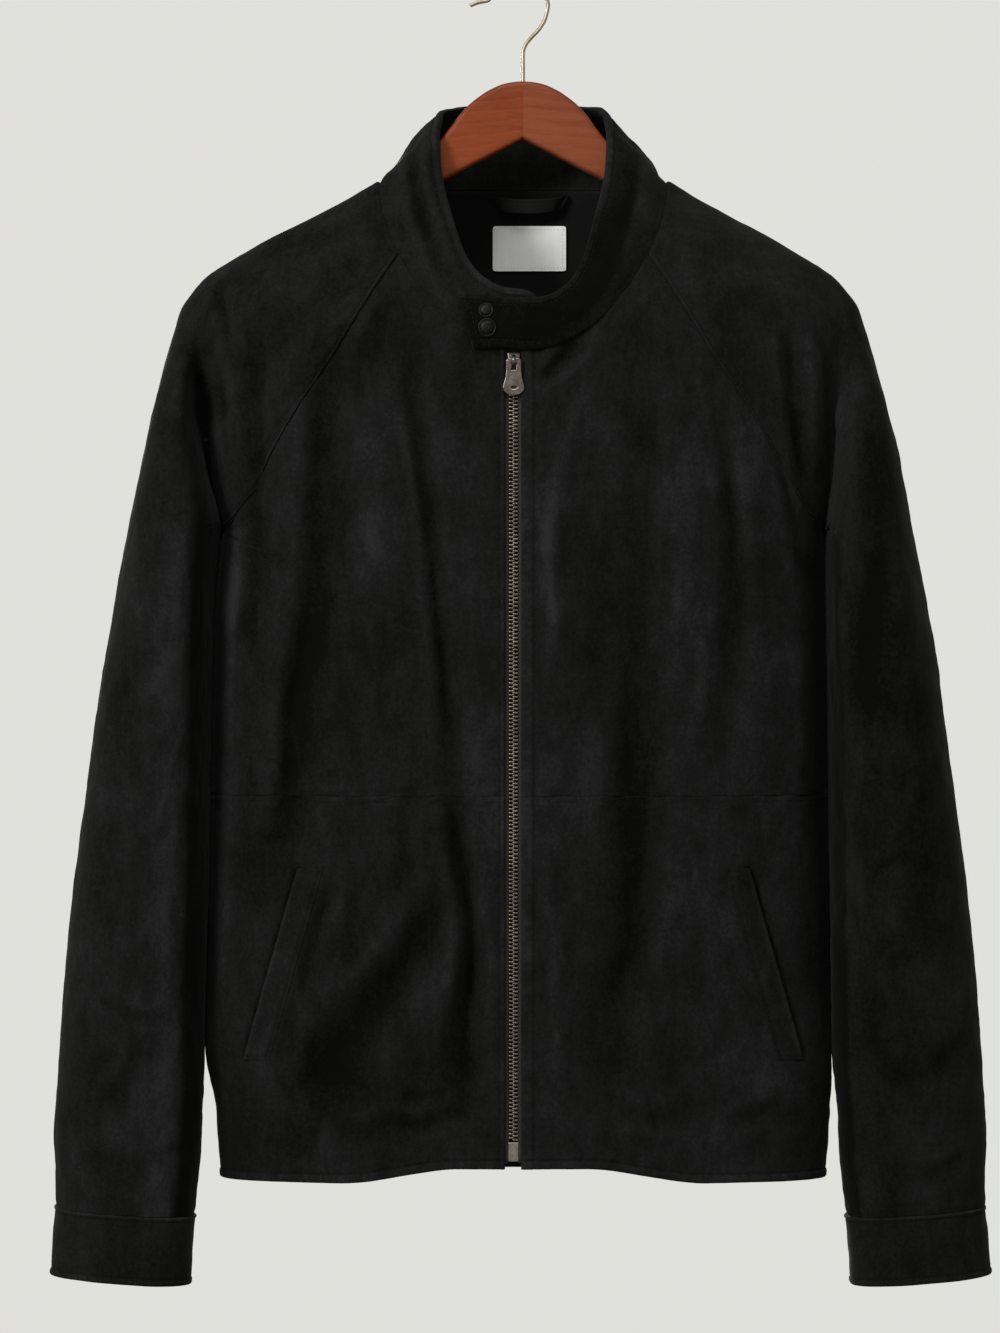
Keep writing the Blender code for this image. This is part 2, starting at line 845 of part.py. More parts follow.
def cuff(side, name, collection):
    grid = []
    for z in (SLEEVE_END_Z - SEAM_GAP, mix(SLEEVE_END_Z, CUFF_END_Z, 0.5), CUFF_END_Z):
        middle = (outer_x(side, z) + inner_x(side, z)) / 2
        half = abs(outer_x(side, z) - inner_x(side, z)) / 2
        row = []
        for i in range(CUFF_COLUMNS):
            angle = 2 * math.pi * i / CUFF_COLUMNS
            pair = []
            for inset in (0.0, CLOTH):
                across = math.copysign(abs(math.cos(angle)) ** (2 / SLEEVE_POWER), math.cos(angle))
                deep = math.copysign(abs(math.sin(angle)) ** (2 / SLEEVE_POWER), math.sin(angle))
                x = middle + (half - inset) * across
                y = sleeve_forward(z) + (sleeve_depth(z) - inset) * deep
                pair.append(tilted(Vector((x, y, z)), side, z))
            row.append(tuple(pair))
        grid.append(row)
    wall_object(name, grid, collection, SUEDE, ring=True)


# ---- Collar


def collar_ends(angle):
    """The base and rim points of the collar at an angle, in degrees, from the middle of the front."""
    turn = math.radians(angle)
    mirrored = angle if angle <= 180 else 360 - angle
    over = ease(*OVERLAP_ANGLES, angle)
    if math.cos(turn) > -NEARLY_ZERO:
        x, z = neck_point(math.asin(math.sin(turn)))
        base = Vector((-x, skin_y(-x, z, "front", "body"), z))
    else:
        x = -NECK_HALF_WIDTH * math.sin(turn)
        base = Vector((x, skin_y(x, NECK_SIDE_Z, "back", "body"), NECK_SIDE_Z))
    rim = Vector((
        -RIM_HALF_WIDTH * math.sin(turn),
        RIM_MIDDLE_Y - RIM_HALF_DEPTH * math.cos(turn),
        rim_height(abs(mirrored)) - OVERLAP_DROP * over,
    ))
    outward = Vector((-math.sin(turn), -math.cos(turn), 0))
    base.z += COLLAR_GAP
    return base + outward * OVERLAP_LIFT * over, rim + outward * OVERLAP_LIFT * over, outward


def collar_row(base, rim, out, wall):
    """One upright row of the collar, from its base to its rim, bulging a little between them."""
    rise = (rim - base).normalized()
    sideways = Vector((out.y, -out.x, 0))
    normal = rise.cross(sideways)
    if normal.dot(out) < 0:
        normal = -normal
    normal.normalize()
    row = []
    for i in range(COLLAR_ROWS + 1):
        t = i / COLLAR_ROWS
        outer = base.lerp(rim, t) + normal * COLLAR_BULGE * math.sin(math.pi * t)
        row.append((outer, outer - normal * wall))
    return row


def collar(collection):
    grid = []
    angles = [UNDERLAP_ANGLE] + [360.0 * i / COLLAR_STEPS for i in range(COLLAR_STEPS + 1)]
    for angle in angles:
        base, rim, out = collar_ends(angle)
        grid.append(collar_row(base, rim, out, COLLAR_CLOTH))
    for tab in TAB:
        base = Vector((tab.x_bottom, tab.y_bottom, tab.z_bottom))
        rim = Vector((tab.x_top, tab.y_top, tab.z_top))
        grid.append(collar_row(base, rim, Vector((-0.2, -1, 0)).normalized(), COLLAR_CLOTH))
    wall_object("collar", grid, collection, SUEDE)


def snap(spec, collection):
    """A press stud's cap, turned about its axis and laid on the tab."""
    mesh = bmesh.new()
    profile = (
        (0.0, spec.height),
        (0.55 * spec.radius, 0.94 * spec.height),
        (0.86 * spec.radius, 0.70 * spec.height),
        (spec.radius, 0.30 * spec.height),
        (spec.radius, 0.0),
        (0.0, 0.0),
    )
    ring = [mesh.verts.new(Vector((radius, 0, height)) * MM) for radius, height in profile]
    for pair in zip(ring, ring[1:]):
        mesh.edges.new(pair)
    obj = mesh_object(spec.name, mesh, collection, SNAP_METAL)
    screw = obj.modifiers.new("turn", "SCREW")
    screw.steps = TURNED_STEPS
    screw.render_steps = TURNED_STEPS
    screw.use_merge_vertices = True
    screw.merge_threshold = 0.00001
    screw.use_normal_calculate = True
    screw.use_normal_flip = True
    t = (spec.z - TAB[1].z_bottom) / (TAB[1].z_top - TAB[1].z_bottom)
    y = mix(TAB[2].y_bottom, mix(TAB[1].y_top, TAB[2].y_top, 0.4), t)
    y -= COLLAR_BULGE * math.sin(math.pi * t) + SNAP_GAP
    obj.location = Vector((spec.x, y, spec.z)) * MM
    obj.rotation_euler = (math.pi / 2, 0, SNAP_TURN)


# ---- Inside the neck


def inside(x, z, depth, wall):
    """Points of a layer inside the back, depth in from the back's outer face."""
    return lay(x, z, "back", "body", lift=-depth, wall=wall)


def neck_facing(collection):
    grid = []
    for v in fractions(FACING_ROWS):
        z = mix(FACING_TOP_Z, FACING_BOTTOM_Z, v)
        half = FACING_HALF_WIDTH * (1 - (FACING_FOOT * v) ** FACING_POWER) ** 0.5
        half = min(half, raglan["back"](z) - FACING_IN_FROM_SEAM)
        row = []
        for t in fractions(FACING_COLUMNS):
            row.append(inside(mix(-half, half, t), z, CLOTH + LINING_GAP, FACING_CLOTH))
        grid.append(row)
    wall_object("neck_facing", grid, collection, LINING)


def label(collection):
    depth = CLOTH + LINING_GAP + FACING_CLOTH + LAID_GAP
    grid = [
        [inside(mix(*LABEL_X, t), mix(*LABEL_Z, v), depth, LABEL_CLOTH) for t in fractions(LABEL_COLUMNS)]
        for v in fractions(LABEL_ROWS)
    ]
    wall_object("label", grid, collection, LABEL)


def hanger_loop(collection):
    """A strip whose ends are sewn in at the neck seam and whose middle hangs away from it."""
    depth = CLOTH + LINING_GAP + FACING_CLOTH + LAID_GAP
    grid = []
    for v in (0, 1):
        row = []
        for t in fractions(LOOP_COLUMNS):
            x = mix(*LOOP_X, t)
            bow = math.sin(math.pi * t) ** LOOP_POWER
            z = LOOP_Z - LOOP_WIDTH * v - LOOP_DROP * bow
            row.append(inside(x, z, depth + LOOP_SAG * bow, LOOP_CLOTH))
        grid.append(row)
    wall_object("hanger_loop", grid, collection, LINING)


# ---- Pockets and zip


def pocket_welt(side, name, collection):
    """The welt lies on the front from its open edge, at the slit, towards the middle."""
    grid = []
    for v in fractions(WELT_ROWS):
        edge_x = mix(POCKET.x_top, POCKET.x_bottom, v)
        z = mix(POCKET.z_top, POCKET.z_bottom, v)
        row = []
        for t in fractions(WELT_COLUMNS):
            x = side * (edge_x - POCKET.width * t)
            row.append(lay(x, z, "front", "body", lift=WELT_GAP + WELT_CLOTH, wall=WELT_CLOTH))
        grid.append(row)
    wall_object(name, grid, collection, SUEDE)


def zip_y(z):
    """The middle of the zip, just behind the fronts' inner face."""
    return skin_y(ZIP_X, z, "front", "body") + CLOTH + TAPE_GAP + TAPE_CLOTH / 2


def zip_tape(side, name, collection):
    grid = []
    heights = levels(TAPE_TOP_Z, CHAIN_TOP_Z, 1) + levels(CHAIN_TOP_Z - CHAIN_GAP, TAPE_BOTTOM_Z, ZIP_ROWS)
    for z in heights:
        near = TAPE_REACH_AT_SLIDER if z >= CHAIN_TOP_Z else TAPE_REACH
        row = []
        for x in (ZIP_X + side * near, OPENING_X[side], OPENING_X[side] + side * TAPE_UNDER):
            y = skin_y(x, z, "front", "body") + CLOTH + TAPE_GAP
            row.append((Vector((x, y, z)), Vector((x, y + TAPE_CLOTH, z))))
        grid.append(row)
    wall_object(name, grid, collection, TAPE)


def zip_chain(collection):
    grid = []
    for z in levels(CHAIN_TOP_Z - CHAIN_GAP, BOX_TOP_Z, ZIP_ROWS):
        row = []
        for reach in (-1, -CHAIN_CREST, CHAIN_CREST, 1):
            thick = CHAIN_THICK * (CHAIN_EDGE if abs(reach) == 1 else 1.0)
            x = ZIP_X + reach * CHAIN_WIDTH / 2
            y = zip_y(z)
            row.append((Vector((x, y - thick / 2, z)), Vector((x, y + thick / 2, z))))
        grid.append(row)
    wall_object("zip_chain", grid, collection, ZIP_METAL)


def zip_box(collection):
    z = BOX_TOP_Z - LAID_GAP - BOX_SIZE[2] / 2
    mesh = bmesh.new()
    bmesh.ops.create_cube(mesh, size=1.0)
    bmesh.ops.scale(mesh, vec=Vector(BOX_SIZE) * MM, verts=mesh.verts)
    box = mesh_object("zip_box", mesh, collection, ZIP_METAL)
    box.location = Vector((ZIP_X, zip_y(z), z)) * MM
    rounding = box.modifiers.new("rounding", "BEVEL")
    rounding.width = BOX_ROUNDING * MM
    rounding.segments = 2


def zip_slider(collection, helpers):
    """A wedge that narrows downwards, with an arched bridge on its face that holds the pull."""
    mesh = bmesh.new()
    bmesh.ops.create_cube(mesh, size=1.0)
    for vert in mesh.verts:
        width = SLIDER_TOP_WIDTH if vert.co.z > 0 else SLIDER_BOTTOM_WIDTH
        vert.co = Vector((vert.co.x * width, vert.co.y * SLIDER_THICK, vert.co.z * SLIDER_HEIGHT)) * MM
    slider = mesh_object("zip_slider", mesh, collection, ZIP_METAL)
    middle_z = SLIDER_TOP_Z - SLIDER_HEIGHT / 2
    middle_y = zip_y(middle_z)
    slider.location = Vector((ZIP_X, middle_y, middle_z)) * MM
    rounding = slider.modifiers.new("rounding", "BEVEL")
    rounding.width = SLIDER_ROUNDING * MM
    rounding.segments = 2
    bridge_mesh = bmesh.new()
    rings = []
    for i in range(BRIDGE_STEPS + 1):
        angle = math.pi * i / BRIDGE_STEPS
        centre = Vector((0, -math.sin(angle) * BRIDGE_OUT, math.cos(angle) * BRIDGE_RADIUS))
        out = Vector((0, -math.sin(angle), math.cos(angle)))
        ring = []
        for k in range(BRIDGE_SIDES):
            around = 2 * math.pi * k / BRIDGE_SIDES
            sideways = Vector((math.sin(around) * BRIDGE_WIDENING, 0, 0))
            reach = (out * math.cos(around) + sideways) * BRIDGE_WIRE
            ring.append(bridge_mesh.verts.new((centre + reach) * MM))
        rings.append(ring)
    for low, high in zip(rings, rings[1:]):
        for k in range(BRIDGE_SIDES):
            after = (k + 1) % BRIDGE_SIDES
            bridge_mesh.faces.new((low[k], low[after], high[after], high[k]))
    bridge_mesh.faces.new(rings[0])
    bridge_mesh.faces.new(list(reversed(rings[-1])))
    bridge = mesh_object("slider_bridge", bridge_mesh, helpers)
    bridge.location = Vector((ZIP_X, middle_y - SLIDER_THICK / 2 + BRIDGE_ROOT, PULL_PIVOT_Z)) * MM
    bridge.hide_render = True
    join = slider.modifiers.new("bridge", "BOOLEAN")
    join.operation = "UNION"
    join.solver = "EXACT"
    join.object = bridge


def zip_pull(collection, helpers):
    """A flat tab, hung by the bar above its window, with a dished oval near its foot."""
    plate = bpy.data.curves.new("zip_pull_outline", "CURVE")
    plate.dimensions = "2D"
    plate.fill_mode = "BOTH"
    plate.extrude = (PULL_THICK / 2 - PULL_ROUNDING) * MM
    plate.bevel_depth = PULL_ROUNDING * MM
    plate.bevel_resolution = 1
    right = [(row.half_width, -row.down) for row in PULL_PLATE]
    outline_points = right + [(-x, y) for x, y in reversed(right)]
    half, top, bottom = PULL_WINDOW
    window_points = [(half, -top), (half, -bottom), (-half, -bottom), (-half, -top)]
    for points in (outline_points, window_points):
        spline = plate.splines.new("POLY")
        spline.points.add(len(points) - 1)
        for point, (x, y) in zip(spline.points, points):
            point.co = (x * MM, y * MM, 0, 1)
        spline.use_cyclic_u = True
    flat = add_object("zip_pull_flat", plate, helpers)
    bpy.context.view_layer.update()
    graph = bpy.context.evaluated_depsgraph_get()
    data = bpy.data.meshes.new_from_object(flat.evaluated_get(graph))
    mesh = bmesh.new()
    mesh.from_mesh(data)
    bmesh.ops.remove_doubles(mesh, verts=mesh.verts, dist=0.001 * MM)
    bpy.data.objects.remove(flat, do_unlink=True)
    pull = mesh_object("zip_pull", mesh, collection, PULL_METAL)
    pull.location = Vector((ZIP_X, zip_y(PULL_PIVOT_Z) - PULL_OUT, PULL_PIVOT_Z)) * MM
    pull.rotation_euler = (math.pi / 2, 0, 0)
    down, half_width, half_height, bowl, deep = PULL_DISH
    dish_mesh = bmesh.new()
    bmesh.ops.create_uvsphere(dish_mesh, u_segments=DISH_STEPS, v_segments=DISH_STEPS // 2, radius=1.0)
    bmesh.ops.scale(dish_mesh, vec=Vector((half_width, bowl, half_height)) * MM, verts=dish_mesh.verts)
    dish = mesh_object("pull_dish", dish_mesh, helpers)
    face_y = zip_y(PULL_PIVOT_Z) - PULL_OUT - PULL_THICK / 2
    dish.location = Vector((ZIP_X, face_y - bowl + deep, PULL_PIVOT_Z - down)) * MM
    dish.hide_render = True
    cut = pull.modifiers.new("dish", "BOOLEAN")
    cut.operation = "DIFFERENCE"
    cut.solver = "EXACT"
    cut.object = dish


# ---- Hanger


def hook_route():
    """The wire's middle line, from its foot in the wood to its tip."""
    centre_x, centre_z = HOOK_CENTRE
    points = list(STEM) + list(STEM_BEND)
    for angle in range(0, HOOK_LAST_ANGLE + 1, HOOK_ANGLE_STEP):
        turn = math.radians(angle)
        points.append((centre_x + HOOK_RADIUS * math.cos(turn), centre_z + HOOK_RADIUS * math.sin(turn)))
    return points + list(HOOK_TIP)


def hanger_hook(collection):
    data = bpy.data.curves.new("hanger_hook", "CURVE")
    data.dimensions = "3D"
    data.bevel_depth = WIRE_RADIUS * MM
    data.bevel_resolution = 2
    data.use_fill_caps = True
    route = hook_route()
    spline = data.splines.new("POLY")
    spline.points.add(len(route) - 1)
    for point, (x, z) in zip(spline.points, route):
        point.co = (x * MM, 0, z * MM, 1)
    add_object("hanger_hook", data, collection, WIRE)


def bore_cutter(helpers):
    mesh = bmesh.new()
    radius = (WIRE_RADIUS + BORE_CLEARANCE) * MM
    bmesh.ops.create_cone(
        mesh, cap_ends=True, segments=BORE_STEPS, radius1=radius, radius2=radius, depth=2 * BORE_DEPTH * MM
    )
    cutter = mesh_object("hook_bore", mesh, helpers)
    cutter.location = Vector((0, 0, ARM[0].top)) * MM
    cutter.hide_render = True
    return cutter


def hanger_arm(side, name, collection, cutter):
    """Half of the hanger: its outline from the front, made as thick as the wood and rounded."""
    outline_points = [(side * arm.x, arm.top) for arm in ARM]
    outline_points += [(side * arm.x, arm.bottom) for arm in reversed(ARM)]
    mesh = bmesh.new()
    front = [mesh.verts.new(Vector((x, -ARM_THICK / 2, z)) * MM) for x, z in outline_points]
    face = mesh.faces.new(front)
    made = bmesh.ops.extrude_face_region(mesh, geom=[face])
    moved = [item for item in made["geom"] if isinstance(item, bmesh.types.BMVert)]
    bmesh.ops.translate(mesh, verts=moved, vec=Vector((0, ARM_THICK, 0)) * MM)
    bmesh.ops.recalc_face_normals(mesh, faces=mesh.faces)
    rims = [
        edge
        for edge in mesh.edges
        if abs(edge.verts[0].co.y - edge.verts[1].co.y) < NEARLY_ZERO * MM
        and max(abs(vert.co.x) for vert in edge.verts) > 2 * ARM[0].x * MM
    ]
    bmesh.ops.bevel(mesh, geom=rims, offset=ARM_BEVEL * MM, segments=3, profile=0.5, affect="EDGES")
    obj = mesh_object(name, mesh, collection, WOOD)
    bore = obj.modifiers.new("bore", "BOOLEAN")
    bore.operation = "DIFFERENCE"
    bore.solver = "EXACT"
    bore.object = cutter


# ---- All of it


def build():
    clear_scene()
    jacket = new_collection("suede_jacket")
    helpers = new_collection("helpers", shown=False)
    for side, worn in SIDES.items():
        front_upper(side, f"front_upper_{worn}", jacket)
        front_lower(side, f"front_lower_{worn}", jacket)
        sleeve(side, "front", shoulder_heights(), f"sleeve_front_upper_{worn}", jacket)
        sleeve(side, "front", arm_heights(ARMPIT_Z - SEAM_GAP), f"sleeve_front_lower_{worn}", jacket)
        sleeve(side, "back", shoulder_heights() + arm_heights(ARMPIT_Z)[1:], f"sleeve_back_{worn}", jacket)
        cuff(side, f"cuff_{worn}", jacket)
        pocket_welt(side, f"pocket_welt_{worn}", jacket)
        zip_tape(side, f"zip_tape_{worn}", jacket)
    back("back", jacket)
    collar(jacket)
    for spec in SNAPS:
        snap(spec, jacket)
    neck_facing(jacket)
    label(jacket)
    hanger_loop(jacket)
    zip_chain(jacket)
    zip_box(jacket)
    zip_slider(jacket, helpers)
    zip_pull(jacket, helpers)
    cutter = bore_cutter(helpers)
    for side, worn in SIDES.items():
        hanger_arm(side, f"hanger_arm_{worn}", jacket, cutter)
    hanger_hook(jacket)


build()
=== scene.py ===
import math

import bpy
import numpy as np
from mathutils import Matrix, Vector


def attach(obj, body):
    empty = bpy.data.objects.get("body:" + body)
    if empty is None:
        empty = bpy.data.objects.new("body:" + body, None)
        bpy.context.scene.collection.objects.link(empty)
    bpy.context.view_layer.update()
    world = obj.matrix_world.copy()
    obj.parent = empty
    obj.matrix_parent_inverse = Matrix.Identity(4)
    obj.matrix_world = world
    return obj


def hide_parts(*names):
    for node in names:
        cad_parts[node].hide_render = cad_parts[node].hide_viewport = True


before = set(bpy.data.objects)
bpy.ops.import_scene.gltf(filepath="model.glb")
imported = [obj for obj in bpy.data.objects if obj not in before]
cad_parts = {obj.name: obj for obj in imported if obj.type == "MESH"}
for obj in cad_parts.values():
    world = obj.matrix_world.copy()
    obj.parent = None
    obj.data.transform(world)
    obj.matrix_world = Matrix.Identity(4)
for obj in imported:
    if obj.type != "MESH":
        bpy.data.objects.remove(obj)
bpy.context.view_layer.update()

# A suede zip jacket on a wooden hanger. Sizes are in millimetres, and MM turns them into metres. The jacket's front
# is towards -Y and its wearer's right at -X. The tables of the jacket's shape are the same as in part.py.

MM = 0.001

# ---- Sizes

WALL = 1.7
SEAM = 0.12
CAD_CLOTH = 2.0
NECK_SIDE_Z = -133.0
NECK_HALF_WIDTH = 95.0
NECK_DROP = 116.0
NECK_POWER = 1.75
RAGLAN_TOP_Z = -185.0
ARMPIT_Z = -363.0
ARMPIT_X = 199.0
CROSS_SEAM_Z = -537.0
SIDE_HEM_Z = -789.0
HEM_MIDDLE_Z = -779.0
HEM_RISE = (40.0, 120.0)
SLEEVE_END_Z = -808.5
CUFF_END_Z = -853.0
CUFF_NARROW = 2.6
CUFF_NARROWS = (760.0, 860.0)
CUFF_FACING = 20
CUFF_COLUMNS = 150
OPENING_X = {-1: -12.0, 1: -1.5}
ZIP_X = -6.4
SLEEVE_SHIFT = -2.0
SHIFT_FULL_Z = -190.0
SLEEVE_TILT = 3.5
TILT_START_Z = -600.0
BODY_POWER = 2.5
SLEEVE_POWER = 2.4
TROUGH_BLEND = 18.0
TROUGH_CLOSE = 90.0
SEAM_CLOSE = 24.0
FOLD_ROOM = 40.0
FOLD_DEPTH = 1.6
FOLD_SHIFT = 2.0
# How much a fold's push paints shade into its trough and light onto a ridge
FOLD_SHADING_PAINT = 0.066
WAVE_COUNT = 28
INNER_FOLLOWS = 0.2
# Heights over which the painted shade at the side seams fades out towards the hem
SIDE_SHADE_END = (-700.0, -640.0)
FRONT_FACING = 42
HEM_FACING = 28
SIDES = {-1: "right", 1: "left"}
FACES = {"front": -1, "back": 1}

OUTLINE = (
    (-132, 95.0), (-145, 116.0), (-158, 140.0), (-171, 165.5), (-185, 189.3), (-191, 199.0), (-198, 208.4),
    (-205, 214.6), (-218, 223.6), (-231, 227.6), (-251, 233.3), (-290, 242.9), (-330, 251.2), (-370, 258.8),
    (-409, 266.0), (-488, 278.6), (-568, 289.4), (-647, 298.2), (-726, 303.2), (-766, 305.4), (-785, 304.6),
    (-805, 305.2), (-825, 307.4), (-853, 309.6),
)

# Height, half width, and depth of the front and the back
BODY = (
    (-132, 400.0, 14.0, 43.0), (-150, 400.0, 25.0, 47.0), (-165, 400.0, 32.0, 50.0), (-180, 400.0, 38.5, 53.0),
    (-200, 400.0, 47.0, 56.0), (-212, 230.0, 52.0, 57.5), (-232, 226.5, 57.0, 59.5), (-252, 221.5, 60.0, 61.0),
    (-290, 214.0, 63.0, 62.5), (-330, 206.5, 64.5, 63.0), (-350, 201.5, 65.0, 62.5), (-363, 198.0, 65.0, 62.0),
    (-378, 196.0, 64.5, 61.5), (-435, 197.6, 63.0, 60.0), (-490, 202.4, 60.5, 57.5), (-540, 203.2, 58.0, 55.0),
    (-625, 203.8, 54.0, 51.0), (-700, 204.0, 50.0, 47.5), (-755, 201.8, 47.0, 45.0), (-792, 199.0, 45.0, 43.0),
)

# Height, inner edge, depth, and how far the sleeve's middle lies to the back
SLEEVE = (
    (-205, 200.0, 0.0, 0.0), (-218, 205.0, 9.0, 0.0), (-231, 208.0, 19.0, 0.0), (-252, 209.0, 33.0, 0.0),
    (-290, 207.0, 49.0, 0.0), (-330, 203.5, 58.5, 0.0), (-363, 201.6, 62.0, 0.0), (-376, 203.5, 62.0, 0.0),
    (-400, 206.5, 61.5, -0.5), (-450, 207.8, 59.5, -2.0), (-530, 207.8, 54.5, -4.0), (-620, 207.8, 47.0, -8.0),
    (-700, 207.6, 39.5, -13.0), (-765, 209.0, 33.0, -17.0), (-809, 213.0, 29.0, -20.0),
    (-853, 215.5, 27.0, -22.0),
)

# Height and distance from the middle at which body and sleeve touch below the armpit
TOUCH = {
    -1: (
        (-363, 198.8), (-380, 200.5), (-400, 202.2), (-420, 203.3), (-472, 204.6), (-524, 205.2), (-576, 206.2),
        (-628, 208.0), (-680, 209.5), (-715, 210.0),
    ),
    1: (
        (-363, 198.8), (-390, 198.9), (-420, 199.4), (-472, 200.5), (-537, 201.0), (-628, 202.3), (-694, 203.2),
        (-715, 203.5),
    ),
}
TOUCH_FADE = (702.0, 745.0)
TOUCH_PRESS = 0.6
SLEEVE_TOUCH = (325.0, 363.0)
BODY_TOUCH = (357.0, 372.0)

RAGLAN = {
    "front": (
        (-185, 81.5), (-218, 102.5), (-251, 122.8), (-268, 134.5), (-304, 157.0), (-335, 174.0), (-355, 188.5),
        (-363, 198.8),
    ),
    "back": (
        (-134, 72.0), (-185, 96.0), (-251, 132.0), (-304, 159.0), (-335, 175.0), (-355, 189.0), (-363, 198.8),
    ),
}

# Folds of the body: width on each side of the line, depth (a ridge's is negative), lip beside it, and the line's
# points
BODY_FOLDS = {
    "front": (
        (8, 15, 4.2, 0.15, (-127, -228), (-132, -281), (-134, -333), (-136, -384), (-141, -423), (-148, -462),
         (-152, -500), (-154, -533), (-159, -558), (-172, -596)),
        (5, 8, 2.6, 0.3, (-80, -232), (-74, -281), (-67, -327), (-61, -378), (-58, -423), (-53, -462), (-50, -500),
         (-47, -545)),
        (2, 3, 0.9, 0.4, (-62, -368), (-58, -423), (-53, -462), (-50, -508)),
        (8, 8, 4.2, 0.25, (-50, -506), (-45, -558), (-40, -591), (-36, -623), (-36, -655), (-40, -687), (-38, -723),
         (-40, -766)),
        (2, 3, 1.0, 0.4, (-42, -576), (-36, -623), (-36, -655), (-39, -690), (-38, -738)),
        (7, 5, 1.6, 0.4, (-34, -742), (-50, -745), (-66, -750), (-84, -748)),
        (6, 8, 1.1, 0.4, (-62, -757), (-84, -751), (-108, -756), (-128, -752)),
        (4, 5, 1.3, 0.4, (-50, -728), (-64, -734), (-82, -731)),
        (16, 14, 1.8, 0.0, (-52, -686), (-60, -729), (-62, -764)),
        (14, 18, 4.2, 0.2, (-50, -588), (-67, -623), (-85, -655), (-113, -687), (-130, -719), (-140, -764)),
        (6, 7, 2.2, 0.2, (-175, -286), (-176, -346), (-175, -384), (-179, -417), (-187, -454)),
        (5, 6, 1.8, 0.2, (-120, -578), (-136, -623), (-144, -655), (-154, -690), (-162, -724)),
        (6, 7, 1.4, 0.2, (-73, -522), (-76, -565), (-79, -606)),
        (5, 5, 1.2, 0.2, (-110, -594), (-113, -626), (-112, -654)),
        (22, 5, 1.8, 0.2, (80, -258), (81, -314), (80, -352), (78, -391), (75, -426), (71, -474)),
        (11, 10, 1.4, 0.0, (49, -358), (48, -410), (49, -449), (53, -504)),
        (13, 14, 3.6, 0.2, (77, -414), (72, -468), (69, -500), (67, -558), (69, -591), (66, -623), (60, -658),
         (60, -720)),
        (8, 8, 2.4, 0.3, (115, -240), (127, -307), (132, -346), (134, -384), (134, -423), (130, -462), (127, -500),
         (128, -550)),
        (8, 10, 1.2, 0.2, (135, -528), (146, -571), (150, -603), (151, -648)),
        (6, 7, -2.6, 0.0, (46, -256), (27, -307), (19, -346), (15, -384), (18, -423), (14, -480)),
        (4, 5, 1.8, 0.3, (161, -314), (172, -352), (178, -375), (184, -404)),
        (5, 6, -1.4, 0.0, (-190, -350), (-190, -391), (-193, -444)),
        (6, 7, -1.2, 0.0, (10, -546), (14, -603), (18, -642), (21, -694), (18, -740)),
        (12, 12, -1.6, 0.0, (-98, -246), (-98, -327), (-95, -406)),
        (13, 13, -2.0, 0.0, (103, -314), (103, -384), (105, -444)),
        (5, 6, 2.2, 0.5, (10, -269), (21, -260), (34, -238)),
        (6, 7, 1.4, 0.3, (-172, -760), (-150, -768), (-130, -768)),
        (6, 7, 1.4, 0.3, (-170, -745), (-150, -758), (-126, -750)),
        (6, 7, 1.3, 0.3, (60, -742), (84, -748), (112, -744)),
        (5, 6, 1.2, 0.3, (128, -752), (150, -746), (172, -732)),
        (5, 6, 1.2, 0.3, (150, -738), (168, -748), (183, -741)),
        (6, 8, 1.5, 0.3, (-90, -214), (-100, -250), (-104, -292)),
        (3.0, 3.0, 0.6, 0.5, (100, -262), (112, -290), (121, -332)),
        (2.5, 3.0, 0.7, 0.5, (12, -264), (22, -255), (34, -243)),
        (3.0, 3.0, 0.5, 0.5, (-196, -560), (-172, -566), (-140, -562)),
        (9, 8, 3.0, 0.1, (191, -336), (191, -440), (193, -560), (195, -704)),
    ),
    "back": (
        (9, 14, 3.4, 0.15, (-118, -226), (-112, -300), (-108, -380), (-112, -470), (-120, -580)),
        (12, 8, 3.4, 0.15, (113, -222), (106, -310), (104, -400), (110, -500), (118, -620)),
        (8, 10, 3.0, 0.2, (-40, -400), (-34, -520), (-30, -620), (-37, -750)),
        (10, 8, 3.0, 0.2, (45, -450), (52, -570), (50, -660), (41, -774)),
        (7, 8, 2.2, 0.2, (-160, -400), (-158, -520), (-162, -620), (-168, -740)),
        (8, 7, 2.2, 0.2, (156, -380), (160, -500), (158, -600), (166, -730)),
        (6, 7, -1.6, 0.0, (-77, -280), (-72, -400), (-70, -520)),
        (7, 6, -1.6, 0.0, (74, -310), (78, -430), (81, -560)),
        (8, 8, -1.4, 0.0, (3, -360), (8, -500), (6, -620)),
        (10, 12, 2.6, 0.2, (-64, -590), (-92, -660), (-116, -744)),
        (12, 10, 2.6, 0.2, (74, -600), (98, -670), (124, -752)),
        (8, 10, 1.8, 0.3, (-154, -290), (-130, -350), (-116, -430)),
        (8, 10, 1.8, 0.3, (156, -286), (134, -352), (122, -440)),
        (5, 7, 0.9, 0.3, (-64, -170), (-22, -182), (30, -180), (68, -168)),
        (6, 7, 1.3, 0.3, (-176, -748), (-130, -756), (-92, -752)),
        (6, 7, 1.3, 0.3, (96, -752), (140, -748), (178, -738)),
        (2, 3, 0.8, 0.4, (-38, -480), (-32, -570), (-32, -660)),
        (3, 2, 0.8, 0.4, (108, -330), (105, -400), (108, -470)),
    ),
}

